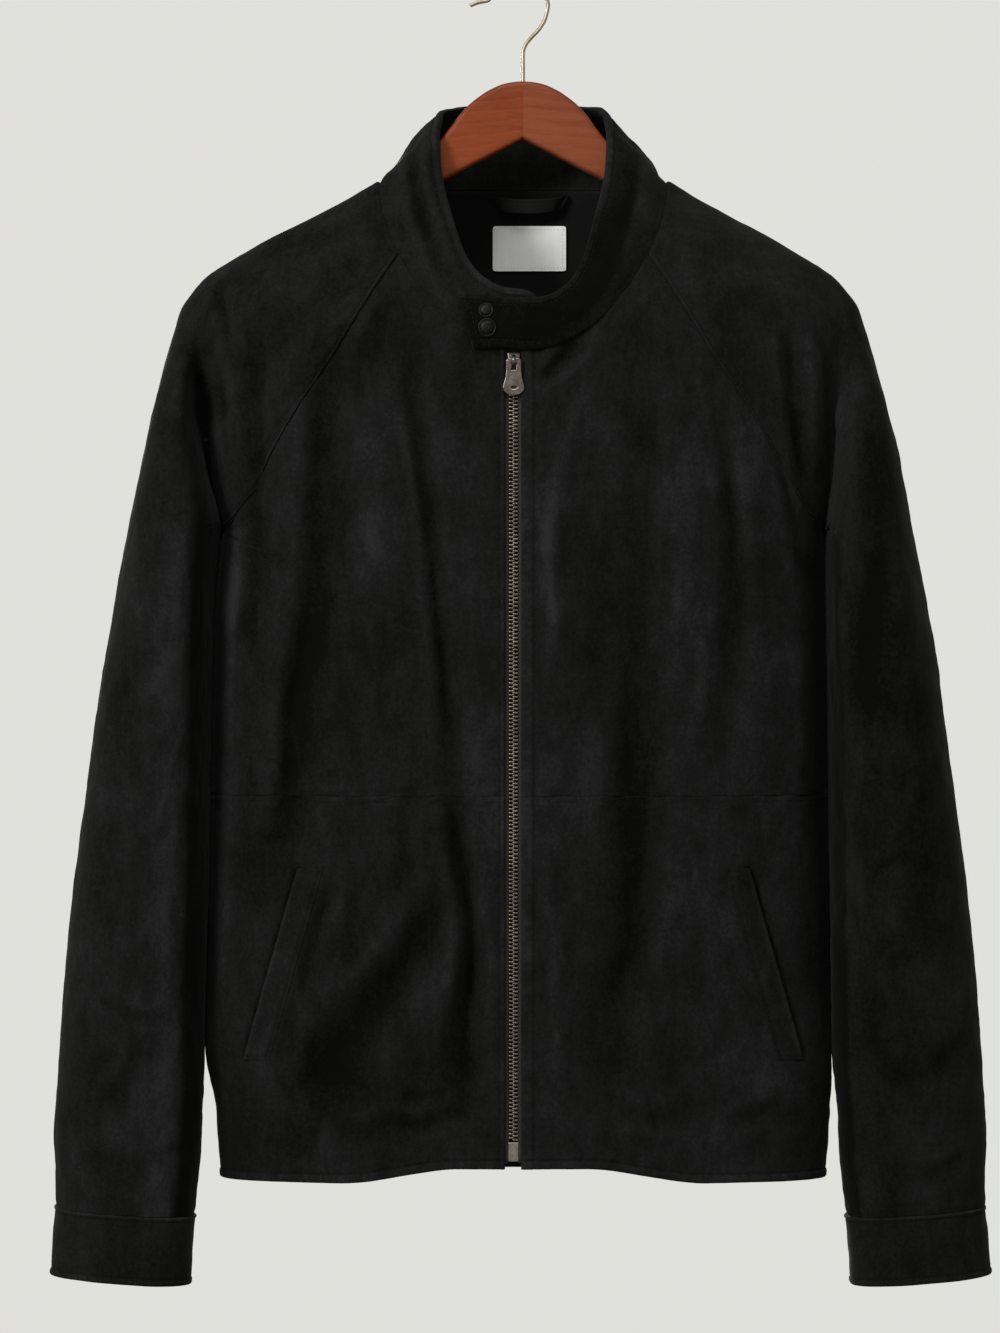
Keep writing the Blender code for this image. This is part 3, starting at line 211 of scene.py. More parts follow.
# Folds of the sleeves, in the same way
SLEEVE_FOLDS = {
    (-1, "front"): (
        (6, 7, -1.8, 0.0, (-188, -194), (-189, -243), (-190, -281), (-190, -320), (-188, -364)),
        (4, 5, 2.2, 0.3, (-204, -198), (-198, -222), (-190, -246), (-185, -264)),
        (6, 6, 2.0, 0.2, (-206, -238), (-204, -256), (-201, -276), (-198, -302)),
        (7, 7, 2.6, 0.2, (-173, -216), (-176, -269), (-175, -301), (-175, -339), (-176, -384)),
        (8, 6, 2.2, 0.1, (-217, -232), (-214, -275), (-213, -307), (-210, -346), (-208, -384), (-207, -430)),
        (3, 5, 1.3, 0.5, (-276, -668), (-262, -678), (-230, -684)),
        (14, 18, 1.4, 0.2, (-252, -420), (-262, -520), (-268, -640)),
        (10, 12, 1.8, 0.2, (-238, -690), (-262, -730), (-290, -740)),
        (7, 8, 1.3, 0.3, (-220, -760), (-250, -778), (-288, -772)),
    ),
    (1, "front"): (
        (5, 6, 2.6, 0.3, (168, -222), (172, -262), (174, -288), (177, -314), (184, -350)),
        (5, 5, -1.6, 0.0, (181, -226), (187, -262), (188, -290), (189, -314)),
        (5, 5, 1.8, 0.2, (195, -242), (196, -275), (197, -307), (193, -342)),
        (5, 6, -1.6, 0.0, (205, -250), (205, -307), (204, -359), (204, -410), (203, -474)),
        (9, 10, 2.6, 0.1, (218, -256), (219, -314), (219, -372), (219, -423), (218, -475), (218, -534)),
        (3, 5, 1.2, 0.5, (224, -584), (234, -582), (246, -578)),
        (15, 17, 1.4, 0.2, (244, -420), (252, -520), (262, -640)),
        (9, 12, 1.8, 0.2, (288, -690), (262, -716), (232, -722)),
        (7, 8, 1.3, 0.3, (290, -770), (262, -782), (226, -776)),
    ),
    (-1, "back"): (
        (14, 18, 3.0, 0.2, (-240, -300), (-236, -420), (-258, -560)),
        (9, 12, 2.0, 0.3, (-276, -560), (-250, -600), (-226, -606)),
        (9, 12, 2.0, 0.3, (-290, -700), (-262, -720), (-232, -716)),
    ),
    (1, "back"): (
        (15, 17, 3.0, 0.2, (236, -300), (240, -430), (256, -560)),
        (9, 12, 2.0, 0.3, (272, -548), (250, -590), (224, -594)),
        (9, 12, 2.0, 0.3, (288, -716), (260, -738), (230, -736)),
    ),
}

RIM = (
    (0, -210.0), (13, -208.5), (25, -203.0), (41, -187.0), (54, -163.5), (66, -143.0), (75, -127.0),
    (84, -108.0), (92, -94.0), (98, -87.0), (104, -84.5), (120, -81.5), (140, -78.0), (180, -75.7),
)
UNDERLAP_FALL = 8.0
RIM_HALF_WIDTH = 56.0
RIM_MIDDLE_Y = -8.0
RIM_HALF_DEPTH = 53.0
COLLAR_WALL = 3.0
COLLAR_GAP = -1.0
NECK_LAP = 0.05
COLLAR_BULGE = 2.5
UNDERLAP_ANGLE = -13.0
OVERLAP_LIFT = 3.6
OVERLAP_ANGLES = (300.0, 342.0)
OVERLAP_DROP = 6.0

# The throat tab's rows: its rim's place and its base's place
TAB = (
    ((-10.0, -64.4, -215.6), (-9.0, -63.9, -248.0)),
    ((-20.0, -63.3, -214.2), (-17.0, -63.9, -248.1)),
    ((-31.0, -61.0, -213.0), (-24.5, -63.7, -248.2)),
    ((-42.2, -57.6, -211.6), (-32.4, -63.4, -248.3)),
)

# A line of painted shade, as a fold row, that runs from the wearer's right sleeve into the gap beside the body
GAP_SHADE_LINE = (
    7.0, 7.0, 2.3, 0.4, (-218, -226), (-216, -268), (-212, -303), (-208.5, -330), (-206, -357), (-204, -384),
    (-204, -420),
)

# The open edge of the pocket's welt, from its top to its foot, and the welt's width
POCKET = ((146.5, -584.0), (182.5, -709.0))
POCKET_WIDTH = 17.0
SLIT_DEPTH = 3.2

LOOP_MIDDLE = 3.8
LOOP_LENGTH = 52.0
LOOP_SLANT = 11.0
LOOP_WIDTH = 9.6

# The hanger's arm: distance from the middle, top and underside
ARM = (
    (0.15, -67.3, -105.6), (4.0, -67.5, -107.7), (12.0, -68.8, -111.8), (22.5, -73.2, -117.3),
    (31.0, -78.9, -121.7), (38.0, -85.0, -125.4), (53.5, -104.5, -133.4), (70.0, -121.0, -142.0),
    (85.0, -134.8, -149.8), (97.0, -143.0, -156.2), (125.0, -155.4, -170.8), (150.0, -169.4, -184.0),
    (175.0, -183.2, -197.4), (190.0, -191.8, -205.6), (196.5, -198.4, -204.4),
)
ARM_THICK = 12.0
ARM_ROUNDING = 3.2
HOOK_CENTRE = (-3.0, -17.95)
HOOK_RADIUS = 19.5
WIRE_RADIUS = 1.3
STEM = (
    (0.0, -90.0), (0.0, -60.0), (0.0, -48.5), (0.8, -44.8), (2.6, -41.4), (6.0, -37.4), (9.4, -33.9),
    (12.2, -30.2), (14.6, -25.6),
)
HOOK_TIP = ((-23.0, -13.4), (-26.2, -14.2), (-30.2, -15.0), (-34.2, -16.6))

# Distances from an edge at which the cloth's rows lie, so that rolls, grooves and stitches are drawn well
EDGE = np.array((0, 0.25, 0.6, 1.1, 1.8, 2.6, 3.4, 4.1, 4.7, 5.2, 5.7, 6.2, 6.9, 7.9, 9.4, 11.5))
CUFF_EDGE = np.array((0, 0.25, 0.6, 1.1, 1.8, 2.6, 3.4, 4.2, 5.0, 6.0, 7.5, 9.5))
WELT_EDGE = np.array((0, 0.3, 0.8, 1.5, 2.3, 3.2, 4.2))
LABEL_EDGE = np.array((0, 0.3, 0.8, 1.4, 2.0, 2.8))
LOOP_EDGE = np.array((0, 0.25, 0.6, 1.1, 1.7))

# Distances of the stitch lines from their edges, and how far off one a row may lie
STITCH_IN = 5.2
PLACKET_STITCH = {-1: 3.4, 1: 7.9}
HEM_STITCH = 5.7
WELT_STITCH = 2.3
CUFF_STITCHES = (2.6, 4.2)
STITCH_SLACK = 0.8

# How far the raglan seam stands up on either side
RAGLAN_RISE = {-1: 0.6, 1: 0.35}

# Waves in the hanging cloth: height, shortest and longest wave, and stretch downwards
BODY_WAVES = ((0.5, 38, 105, 3.4), (0.2, 14, 34, 1.8), (0.07, 7, 15, 1.5))
SLEEVE_WAVES = ((0.5, 34, 90, 3.0), (0.22, 13, 30, 1.6))
COLLAR_WAVES = ((0.55, 26, 70), (0.16, 9, 22))
GRAIN = ((0.05, 4, 11),)

# Edges that dip into a seam: roll, dip and its width, pucker, its shortest and longest wave, and its reach
UNDER = (0.5, 0.7, 5.0, 0.18, 8, 22, 9.0)
PLAIN = (0.8, 0.35, 3.5, 0.14, 9, 24, 8.0)
SOFT = (0.4, 0.12, 3.0, 0.10, 9, 24, 8.0)

FACING_WALL = 0.9
BEHIND_FACING = CAD_CLOTH + FACING_WALL + 1.2
BEHIND_FRONT = CAD_CLOTH + 0.9
LABEL_SIZE = (49.3, 29.7)
LABEL_CORNER = (-20.0, -156.5)
TAPE_ENDS = (-250.6, -774.5)
TAPE_WIDTH = 11.0
TEETH_ENDS = (-263.2, -760.2)
TOOTH_PITCH = 2.54
TOOTH = ((-0.65, 0.45), (0.15, 0.62), (0.75, 0.55), (1.5, 0.50), (2.4, 0.72), (3.3, 0.62))
SNAP_SUNK = 0.35

# The cap of a snap: shares of its radius and height
SNAP_PROFILE = (
    (1, 0.30), (0.97, 0.40), (0.91, 0.47), (0.85, 0.45), (0.81, 0.38), (0.77, 0.38), (0.74, 0.50), (0.69, 0.72),
    (0.60, 0.87), (0.45, 0.96), (0.25, 1), (0, 1.01),
)
DISH_PLACE = (-6.4, -64.29, -273.6)
DISH_HALF = (4.4, 2.2)
DISH_DEEP = 0.33
FLOOR_Z = -1450.0

# The cut of each piece: width and length in metres, its flat area where it isn't a rectangle, and what holds it
SHEETS = {
    "front_upper": ((0.235, 0.375), 0.062, "collar"),
    "front_lower": ((0.225, 0.256), 0.055, "front_upper_right"),
    "back": ((0.470, 0.670), 0.26, "collar"),
    "sleeve_front": ((0.170, 0.745), 0.096, "hanger_arm_right"),
    "sleeve_back": ((0.170, 0.745), 0.096, "hanger_arm_right"),
    "cuff": ((0.225, 0.045), None, "sleeve_front_lower_right"),
    "collar": ((0.500, 0.062), 0.0255, "hanger_arm_right"),
    "pocket_welt": ((0.017, 0.130), None, "front_lower_right"),
    "neck_facing": ((0.160, 0.102), 0.0125, "back"),
    "label": ((0.0493, 0.0297), None, "neck_facing"),
    "hanger_loop": ((0.010, 0.064), None, "back"),
    "zip_tape": ((0.011, 0.524), None, "front_upper_right"),
}


# ---- Curves


def smooth(rows, column=1):
    """A smooth function through a table's rows, from the first column to another, with no overshoot."""
    table = np.array(sorted(rows), float)
    keys, values = table[:, 0], table[:, column]
    steps = np.diff(values) / np.diff(keys)
    product = steps[:-1] * steps[1:]
    total = np.where(product > 0, steps[:-1] + steps[1:], 1.0)
    slopes = np.concatenate((steps[:1], np.where(product > 0, 2 * product / total, 0.0), steps[-1:]))

    def at(key):
        key = np.clip(key, keys[0], keys[-1])
        i = np.clip(np.searchsorted(keys, key, side="right") - 1, 0, len(keys) - 2)
        span, rise = keys[i + 1] - keys[i], values[i + 1] - values[i]
        t = (key - keys[i]) / span
        bend_in, bend_out = slopes[i] * span, slopes[i + 1] * span
        rest = (3 * rise - 2 * bend_in - bend_out) * t**2 + (bend_in + bend_out - 2 * rise) * t**3
        return values[i] + bend_in * t + rest

    return at


def mix(a, b, t):
    return a + (b - a) * t


def ease(low, high, value):
    t = np.clip((value - low) / (high - low), 0.0, 1.0)
    return t * t * (3 - 2 * t)


def bell(away, width):
    return np.exp(-((away / width) ** 2))


def unit(vectors):
    return vectors / np.maximum(np.linalg.norm(vectors, axis=-1, keepdims=True), 1e-9)


def xyz(x, y, z):
    return np.stack([x, y, z], axis=-1)


def full_turn(steps):
    return np.linspace(0, 2 * math.pi, steps, endpoint=False)


def curve_through(points, steps):
    """A smooth line through points, with so many steps between each two."""
    p = np.array(points, float)
    p = np.vstack([2 * p[0] - p[1], p, 2 * p[-1] - p[-2]])
    t = np.linspace(0, 1, steps, endpoint=False)[:, None]
    parts = []
    for a, b, c, d in zip(p, p[1:], p[2:], p[3:]):
        square, cube = 2 * a - 5 * b + 4 * c - d, 3 * b - a - 3 * c + d
        parts.append(0.5 * (2 * b + (c - a) * t + square * t**2 + cube * t**3))
    return np.vstack(parts + [p[-2:-1]])


def along_line(line, far, at):
    """Points of a line at some distances, where far is its own points' distance."""
    return np.stack([np.interp(at, far, line[:, k]) for k in range(3)], axis=-1)


def lengths(points, axis=0):
    """Distances along a grid of points from its start, along one axis."""
    steps = np.linalg.norm(np.diff(points, axis=axis), axis=-1)
    start = np.zeros_like(np.take(steps, [0], axis=axis))
    return np.concatenate([start, np.cumsum(steps, axis=axis)], axis=axis)


def waves(x, z, seed, low, high, stretch=1.0):
    """Soft unevenness of about unit size, whose waves are from low to high long and stretched along z."""
    draw = np.random.default_rng(seed)
    total = np.zeros(np.broadcast(x, z).shape)
    for _ in range(WAVE_COUNT):
        angle, phase = draw.uniform(0, 2 * math.pi, 2)
        number = 2 * math.pi / draw.uniform(low, high)
        total += np.cos(number * (math.cos(angle) * x + math.sin(angle) * z / stretch) + phase)
    return total * math.sqrt(2 / WAVE_COUNT)


def wavy(x, z, seed, rows):
    """Waves of several sizes together. Each row is a height and what waves takes."""
    return sum(height * waves(x, z, seed + i, *sizes) for i, (height, *sizes) in enumerate(rows))


outline = smooth(OUTLINE)
body_limit = smooth(BODY)
body_depth = {"front": smooth(BODY, 2), "back": smooth(BODY, 3)}
sleeve_inner, sleeve_depth, sleeve_forward = (smooth(SLEEVE, column) for column in (1, 2, 3))
touch = {side: smooth(rows) for side, rows in TOUCH.items()}
raglan = {face: smooth(rows) for face, rows in RAGLAN.items()}
rim_height = smooth(RIM)


# ---- The shape that the cloth hangs in


def neck_x(z):
    drop = np.clip((NECK_SIDE_Z - z) / NECK_DROP, 0.0, 1.0)
    return NECK_HALF_WIDTH * (1 - drop**NECK_POWER) ** (1 / NECK_POWER)


def neck_point(angle):
    across = np.abs(np.sin(angle)) ** (2 / NECK_POWER)
    down = np.maximum(np.cos(angle), 0.0) ** (2 / NECK_POWER)
    return NECK_HALF_WIDTH * across * np.sign(np.sin(angle)), NECK_SIDE_Z - NECK_DROP * down


def neck_angle(x):
    return math.copysign(math.asin(min(abs(x) / NECK_HALF_WIDTH, 1.0) ** (NECK_POWER / 2)), x)


def outer_x(side, z):
    narrower = CUFF_NARROW * ease(*CUFF_NARROWS, -z)
    return side * (outline(z) - narrower) + SLEEVE_SHIFT * ease(-NECK_SIDE_Z, -SHIFT_FULL_Z, -z)


def touching(z, start, full):
    return ease(start, full, -z) * (1 - ease(*TOUCH_FADE, -z))


def touch_x(side, z):
    return np.where(np.asarray(side) > 0, touch[1](z), touch[-1](z))


def inner_x(side, z):
    """The sleeve's inner edge."""
    apart = sleeve_inner(z) + side * SLEEVE_SHIFT
    return side * mix(apart, touch_x(side, z) - TOUCH_PRESS, touching(z, *SLEEVE_TOUCH))


def body_edge(side, z):
    """Distance of the side seam from the middle."""
    return mix(body_limit(z), touch_x(side, z), touching(z, *BODY_TOUCH))


def section(across, power):
    return np.maximum(0.0, 1.0 - np.abs(across) ** power) ** (1.0 / power)


def torso_depth(x, z, face):
    half = body_edge(np.where(x > 0, 1, -1), z)
    beyond = outline(z) - half
    middle = (outer_x(1, z) - outline(z)) * (1 - ease(0.0, 20.0, beyond))
    return body_depth[face](z) * section((x - middle) / np.minimum(half, outline(z)), BODY_POWER)


def arm_depth(x, z):
    side = np.where(x > 0, 1, -1)
    outer, inner = outer_x(side, z), inner_x(side, z)
    depth = sleeve_depth(z) * section((2 * x - outer - inner) / (outer - inner), SLEEVE_POWER)
    return np.where(sleeve_depth(z) > 0, depth, 0.0)


def depth_at(x, z, face, limb):
    """How far the cloth's outer face lies from the middle of the body or of the sleeve."""
    reach = np.maximum(TROUGH_BLEND * ease(0.0, TROUGH_CLOSE, z - ARMPIT_Z), 1e-6)
    torso, arm = torso_depth(x, z, face), arm_depth(x, z)
    closeness = np.maximum(reach - np.abs(torso - arm), 0.0) / reach
    deeper = np.maximum(torso, arm)
    merged = deeper + closeness**2 * reach / 4 * ease(0.0, SEAM_CLOSE, deeper)
    return np.where(z >= ARMPIT_Z, merged, torso if limb == "body" else arm)


def folds_at(x, z, folds):
    """How far folds push the cloth in at each place."""
    total = np.zeros(np.broadcast(x, z).shape)
    x = x - FOLD_SHIFT
    for width_left, width_right, depth, lip, *line in folds:
        points = curve_through(line, 7)
        seed = int(abs(points[0, 0] * 7 + points[-1, 1] * 3))
        nearest = np.full(total.shape, 1e9)
        share, hand = np.zeros(total.shape), np.zeros(total.shape)
        count = len(points) - 1
        for i in range(count):
            (x0, z0), (x1, z1) = points[i], points[i + 1]
            run = (x1 - x0) ** 2 + (z1 - z0) ** 2
            cross = (x - x0) * (z1 - z0) - (z - z0) * (x1 - x0)
            t = np.clip(((x - x0) * (x1 - x0) + (z - z0) * (z1 - z0)) / run, 0.0, 1.0)
            away = np.hypot(x - mix(x0, x1, t), z - mix(z0, z1, t))
            closer = away < nearest
            nearest = np.where(closer, away, nearest)
            share = np.where(closer, (i + t) / count, share)
            hand = np.where(closer, np.sign(cross), hand)
        width = np.where(hand > 0, width_left, width_right)
        width = width * (1 + 0.18 * np.sin(5.5 * share + seed)) * (0.75 + 0.4 * share)
        fade = ease(0.0, 0.2, share) * ease(0.0, 0.2, 1 - share)
        uneven = 1 + 0.16 * np.sin(9.0 * share + seed * 1.7)
        shape = bell(nearest, width) - lip * bell(nearest - 1.9 * width, 0.75 * width)
        total += FOLD_DEPTH * depth * fade * uneven * shape
    return total


def pocket_slit(x, z):
    """Distance across the slit of the pocket on either side, and 1 within the slit's length."""
    (x0, z0), (x1, z1) = POCKET
    run = math.hypot(x1 - x0, z1 - z0)
    along = ((np.abs(x) - x0) * (x1 - x0) + (z - z0) * (z1 - z0)) / run
    across = ((np.abs(x) - x0) * (z1 - z0) - (z - z0) * (x1 - x0)) / run
    return across, ease(-3.0, 3.0, along) * ease(-3.0, 3.0, run - along)


def body_push(x, z, face):
    """How far the body's cloth is pushed in by folds and hanging waves, before it meets a seam."""
    seed = 11 if face == "front" else 23
    push = folds_at(x, z, BODY_FOLDS[face]) + wavy(x, z, seed, BODY_WAVES)
    push = push * ease(4.0, 40.0, np.hypot(np.abs(x) - ARMPIT_X, z - ARMPIT_Z))
    if face == "back":
        return push * ease(0.0, 26.0, NECK_SIDE_Z - z)
    under_tab = ease(-262.0, -236.0, z) * ease(60.0, 36.0, np.abs(x + 6.0))
    return push * (1 - 0.8 * under_tab)


def skin_y(x, z, face, limb="body", plain=False):
    depth = depth_at(x, z, face, limb)
    middle = 0.0 if limb == "body" else np.where(z < ARMPIT_Z, sleeve_forward(z), 0.0)
    if limb == "body" and not plain:
        depth = depth - body_push(x, z, face) * ease(0.0, FOLD_ROOM, depth)
    return middle + FACES[face] * np.maximum(depth, SEAM / 2)


def skin(x, z, *which, plain=False):
    """Points of the cloth's outer face, before any seams. Plain cloth has no folds."""
    return xyz(x, skin_y(x, z, *which, plain=plain), z)


def tilted(points, side):
    """The sleeve's lower end is cut a little askew."""
    z = points[..., 2]
    outer, inner = outer_x(side, z), inner_x(side, z)
    amount = SLEEVE_TILT * ease(-TILT_START_Z, -CUFF_END_Z, -z)
    moved = points.copy()
    moved[..., 2] += amount * side * (points[..., 0] - (outer + inner) / 2) / (np.abs(outer - inner) / 2)
    return moved


def hem_z(x):
    return HEM_MIDDLE_Z + (SIDE_HEM_Z - HEM_MIDDLE_Z) * ease(*HEM_RISE, np.abs(x))


# ---- Meshes


def stations(total, count, edge=EDGE):
    """Distances at which rows lie on cloths of these lengths: close together near both ends, even between."""
    total = np.asarray(total, float)[:, None]
    near = edge[None] * np.minimum(1.0, total / (2.3 * edge[-1]))
    share = np.linspace(0, 1, count + 2)[None, 1:-1]
    middle = near[:, -1:] + share * (total - 2 * near[:, -1:])
    return np.hstack([near, middle, total - near[:, ::-1]])


def spread(place, surface, rows, columns, fine):
    """A grid on a panel whose rows and columns lie at set distances, measured on the cloth, from its edges.

    place turns shares t (across) and v (down) into x and z, and surface turns those into points.
    """
    s = (1 - np.cos(np.pi * np.linspace(0, 1, fine[1]))) / 2
    u = np.linspace(0, 1, fine[0])
    t, v = np.meshgrid(s, u)
    down = lengths(surface(*place(t, v)), axis=0)
    want = stations(down[-1], rows)
    v = np.stack([np.interp(want[c], down[:, c], u) for c in range(len(s))], axis=1)
    across = lengths(surface(*place(np.broadcast_to(s, v.shape), v)), axis=1)
    from_left = stations(across[:, -1], columns)
    t = np.stack([np.interp(from_left[i], across[i], s) for i in range(len(v))])

    def at(rows_of):
        return np.stack([np.interp(t[i], s, rows_of(i)) for i in range(len(v))])

    x, z = place(t, at(lambda i: v[i]))
    top, total = at(lambda i: want[:, i]), at(lambda i: down[-1])
    return x, z, {"left": from_left, "right": across[:, -1:] - from_left, "top": top, "bottom": total - top}


def normals(points, out):
    """Unit normals of a grid of points, on the side that out points to on average."""
    n = unit(np.cross(np.gradient(points, axis=1), np.gradient(points, axis=0)))
    return n if np.sum(n * out, axis=-1).mean() > 0 else -n


def off(points, n, distance):
    return points + n * distance[..., None]


def ring_faces(rows, columns):
    """Faces between rows of points that each close to a ring."""
    index = np.arange(rows * columns).reshape(rows, columns)
    after = np.roll(index, -1, axis=1)
    return np.stack([index[:-1], after[:-1], after[1:], index[1:]], axis=-1).reshape(-1, 4)


def add_mesh(name, points, faces, materials, indices=None, tone=None):
    mesh = bpy.data.meshes.new(name)
    mesh.vertices.add(len(points))
    mesh.vertices.foreach_set("co", (np.asarray(points) * MM).astype(np.float32).ravel())
    mesh.loops.add(faces.size)
    mesh.loops.foreach_set("vertex_index", faces.ravel().astype(np.int32))
    mesh.polygons.add(len(faces))
    mesh.polygons.foreach_set("loop_start", np.arange(0, faces.size, faces.shape[1], dtype=np.int32))
    for made in materials:
        mesh.materials.append(made)
    if indices is not None:
        mesh.polygons.foreach_set("material_index", indices.astype(np.int32))
    mesh.polygons.foreach_set("use_smooth", np.ones(len(faces), bool))
    mesh.update(calc_edges=True)
    if tone is not None:
        rgba = np.repeat(np.clip(tone, 0, 1)[:, None], 4, axis=1)
        rgba[:, 3] = 1
        shade = mesh.attributes.new("tone", "FLOAT_COLOR", "POINT")
        shade.data.foreach_set("color", rgba.astype(np.float32).ravel())
    obj = bpy.data.objects.new(name, mesh)
    bpy.context.scene.collection.objects.link(obj)
    return obj


def wall(name, outer, inner, materials, lined=None, tone=None, ring=False, bulge=0.3):
    """A closed shell between two grids of points, its edges rounded a little.

    Its inner faces take the last material, or the first where lined is 0.
    """
    rows, columns = outer.shape[:2]
    index = np.arange(rows * columns).reshape(rows, columns)
    if ring:
        quads = ring_faces(rows, columns)
        loops, inside = [index[0], index[-1, ::-1]], [index[1], index[-2, ::-1]]
    else:
        corners = (index[:-1, :-1], index[:-1, 1:], index[1:, 1:], index[1:, :-1])
        quads = np.stack(corners, axis=-1).reshape(-1, 4)
        loops = [np.concatenate([index[0, :-1], index[:-1, -1], index[-1, :0:-1], index[:0:-1, 0]])]
        i, j = np.divmod(loops[0], columns)
        inside = [index[np.clip(i, 1, rows - 2), np.clip(j, 1, columns - 2)]]
    flat_outer, flat_inner = outer.reshape(-1, 3), inner.reshape(-1, 3)
    count = rows * columns
    points = [flat_outer, flat_inner]
    faces = [quads, quads[:, ::-1] + count]
    lined = np.full(len(quads), len(materials) - 1) if lined is None else lined.ravel().astype(int)
    kinds = [np.zeros(len(quads), int), lined]
    tones = [np.full(count, 0.5) if tone is None else tone.ravel()] * 2
    start = 2 * count
    for loop, within in zip(loops, inside):
        outward = unit(flat_outer[loop] - flat_outer[within])
        thick = np.linalg.norm(flat_outer[loop] - flat_inner[loop], axis=-1, keepdims=True)
        points.append((flat_outer[loop] + flat_inner[loop]) / 2 + outward * thick * bulge)
        tones.append(tones[0][loop])
        m = start + np.arange(len(loop))
        n, after = np.roll(m, -1), np.roll(loop, -1)
        faces += [np.stack([after, loop, m, n], axis=-1), np.stack([n, m, loop + count, after + count], axis=-1)]
        kinds += [np.zeros(len(loop), int)] * 2
        start += len(loop)
    faces = np.vstack(faces)
    i, j = rows // 2, columns // 2
    away = np.cross(outer[i, j] - outer[i, j - 1], outer[i, j] - outer[i - 1, j])
    if np.dot(away, outer[i, j] - inner[i, j]) < 0:
        faces = faces[:, ::-1]
    shade = None if tone is None else np.concatenate(tones)
    return add_mesh(name, np.vstack(points), faces, materials, np.concatenate(kinds), shade)


def joined(name, parts, material):
    """One mesh of many parts, each points and faces."""
    starts = np.cumsum([0] + [len(points) for points, _ in parts])
    faces = np.vstack([faces + start for (_, faces), start in zip(parts, starts)])
    return add_mesh(name, np.vstack([points for points, _ in parts]), faces, [material])


def revolved(profile, centre, axis, steps):
    """A turned shape: profile rows are radius and height along the axis. Its ends lie on the axis."""
    axis = unit(np.array(axis, float))
    side = unit(np.cross(axis, (0.3, 0.1, 0.9)))
    turn = full_turn(steps)[:, None]
    ring = np.cos(turn) * side + np.sin(turn) * np.cross(axis, side)
    rows = [np.array(centre, float) + height * axis + max(radius, 1e-3) * ring for radius, height in profile]
    return np.vstack(rows), ring_faces(len(rows), steps)


def stitches(line, out, radius=0.27, pitch=3.3, length=2.5):
    """Thread along a line of points on the cloth: one short capsule for each stitch, half sunk in."""
    far = lengths(line)
    count = max(int(far[-1] / pitch), 1)
    middles = (np.arange(count) + 0.5) * far[-1] / count
    up = unit(along_line(out, far, middles))
    first, last = (along_line(line, far, middles + step * length / 2) - up * 0.12 for step in (-1, 1))
    crest = along_line(line, far, middles) + up * 0.1
    tangent = unit(last - first)
    turn = (math.pi * np.arange(6) / 3)[:, None]
    ring = np.cos(turn) * unit(np.cross(tangent, up))[:, None] + np.sin(turn) * up[:, None]
    rows = (
        (first - tangent * 0.1, 0.3), (first + tangent * 0.25, 0.9), (crest, 1.0), (last - tangent * 0.25, 0.9),
        (last + tangent * 0.1, 0.3),
    )
    points = np.stack([place[:, None] + radius * size * ring for place, size in rows], axis=1)
    ends = ((5, 4, 3, 2), (5, 2, 1, 0), (24, 25, 26, 27), (24, 27, 28, 29))
    base = np.vstack([ring_faces(5, 6), ends])
    return points.reshape(-1, 3), (base + 30 * np.arange(count)[:, None, None]).reshape(-1, 4)


# ---- Materials


class Look:
    """A material in the making. Its methods add nodes and return their output sockets."""

    def __init__(self, name, **sockets):
        self.made = bpy.data.materials.new(name)
        self.made.use_nodes = True
        self.shader = self.made.node_tree.nodes["Principled BSDF"]
        for key, value in sockets.items():
            self.shader.inputs[key.replace("_", " ")].default_value = value

    def feed(self, socket, value):
        if isinstance(socket, str):
            socket = self.shader.inputs[socket]
        if isinstance(value, bpy.types.NodeSocket):
            self.made.node_tree.links.new(value, socket)
        else:
            socket.default_value = value

    def node(self, kind, inputs, out=0, **settings):
        made = self.made.node_tree.nodes.new("ShaderNode" + kind)
        for key, value in settings.items():
            setattr(made, key, value)
        for key, value in inputs.items():
            self.feed(made.inputs[key], value)
        return made.outputs[out]

    def place(self, scale=(1, 1, 1), turn=0.0):
        where = self.node("TexCoord", {}, out=3)
        return self.node("Mapping", {"Vector": where, "Scale": scale, "Rotation": (0, turn, 0)})

    def noise(self, scale, detail=3.0, rough=0.55, distortion=0.0, stretch=(1, 1, 1), turn=0.0):
        return self.node("TexNoise", {
            "Vector": self.place(stretch, turn), "Scale": scale, "Detail": detail, "Roughness": rough,
            "Distortion": distortion,
        })

    def tone(self):
        return self.node("Attribute", {}, attribute_name="tone")

    def scaled(self, value, factor, plus):
        return self.node("Math", {0: value, 1: factor, 2: plus}, operation="MULTIPLY_ADD")

    def total(self, *parts):
        """The sum of sockets, each with its weight."""
        value = 0.0
        for socket, weight in parts:
            value = self.scaled(socket, weight, value)
        return value

    def ranged(self, value, low, high, to_low=0.0, to_high=1.0):
        return self.node("MapRange", {
            "Value": value, "From Min": low, "From Max": high, "To Min": to_low, "To Max": to_high,
        })

    def ramp(self, value, *stops):
        made = self.made.node_tree.nodes.new("ShaderNodeValToRGB")
        self.feed(made.inputs[0], value)
        colours = made.color_ramp.elements
        while len(colours) < len(stops):
            colours.new(0.5)
        for stop, (place, colour) in zip(colours, stops):
            stop.position = place
            stop.color = (*colour, 1)
        return made.outputs[0]

    def bump(self, height, strength, distance, **over):
        return self.node("Bump", {"Height": height, "Strength": strength, "Distance": distance * MM, **over})

    def finished(self, colour, rough, relief):
        self.feed("Base Color", colour)
        if rough is not None:
            self.feed("Roughness", rough)
        self.feed("Normal", relief)
        return self.made


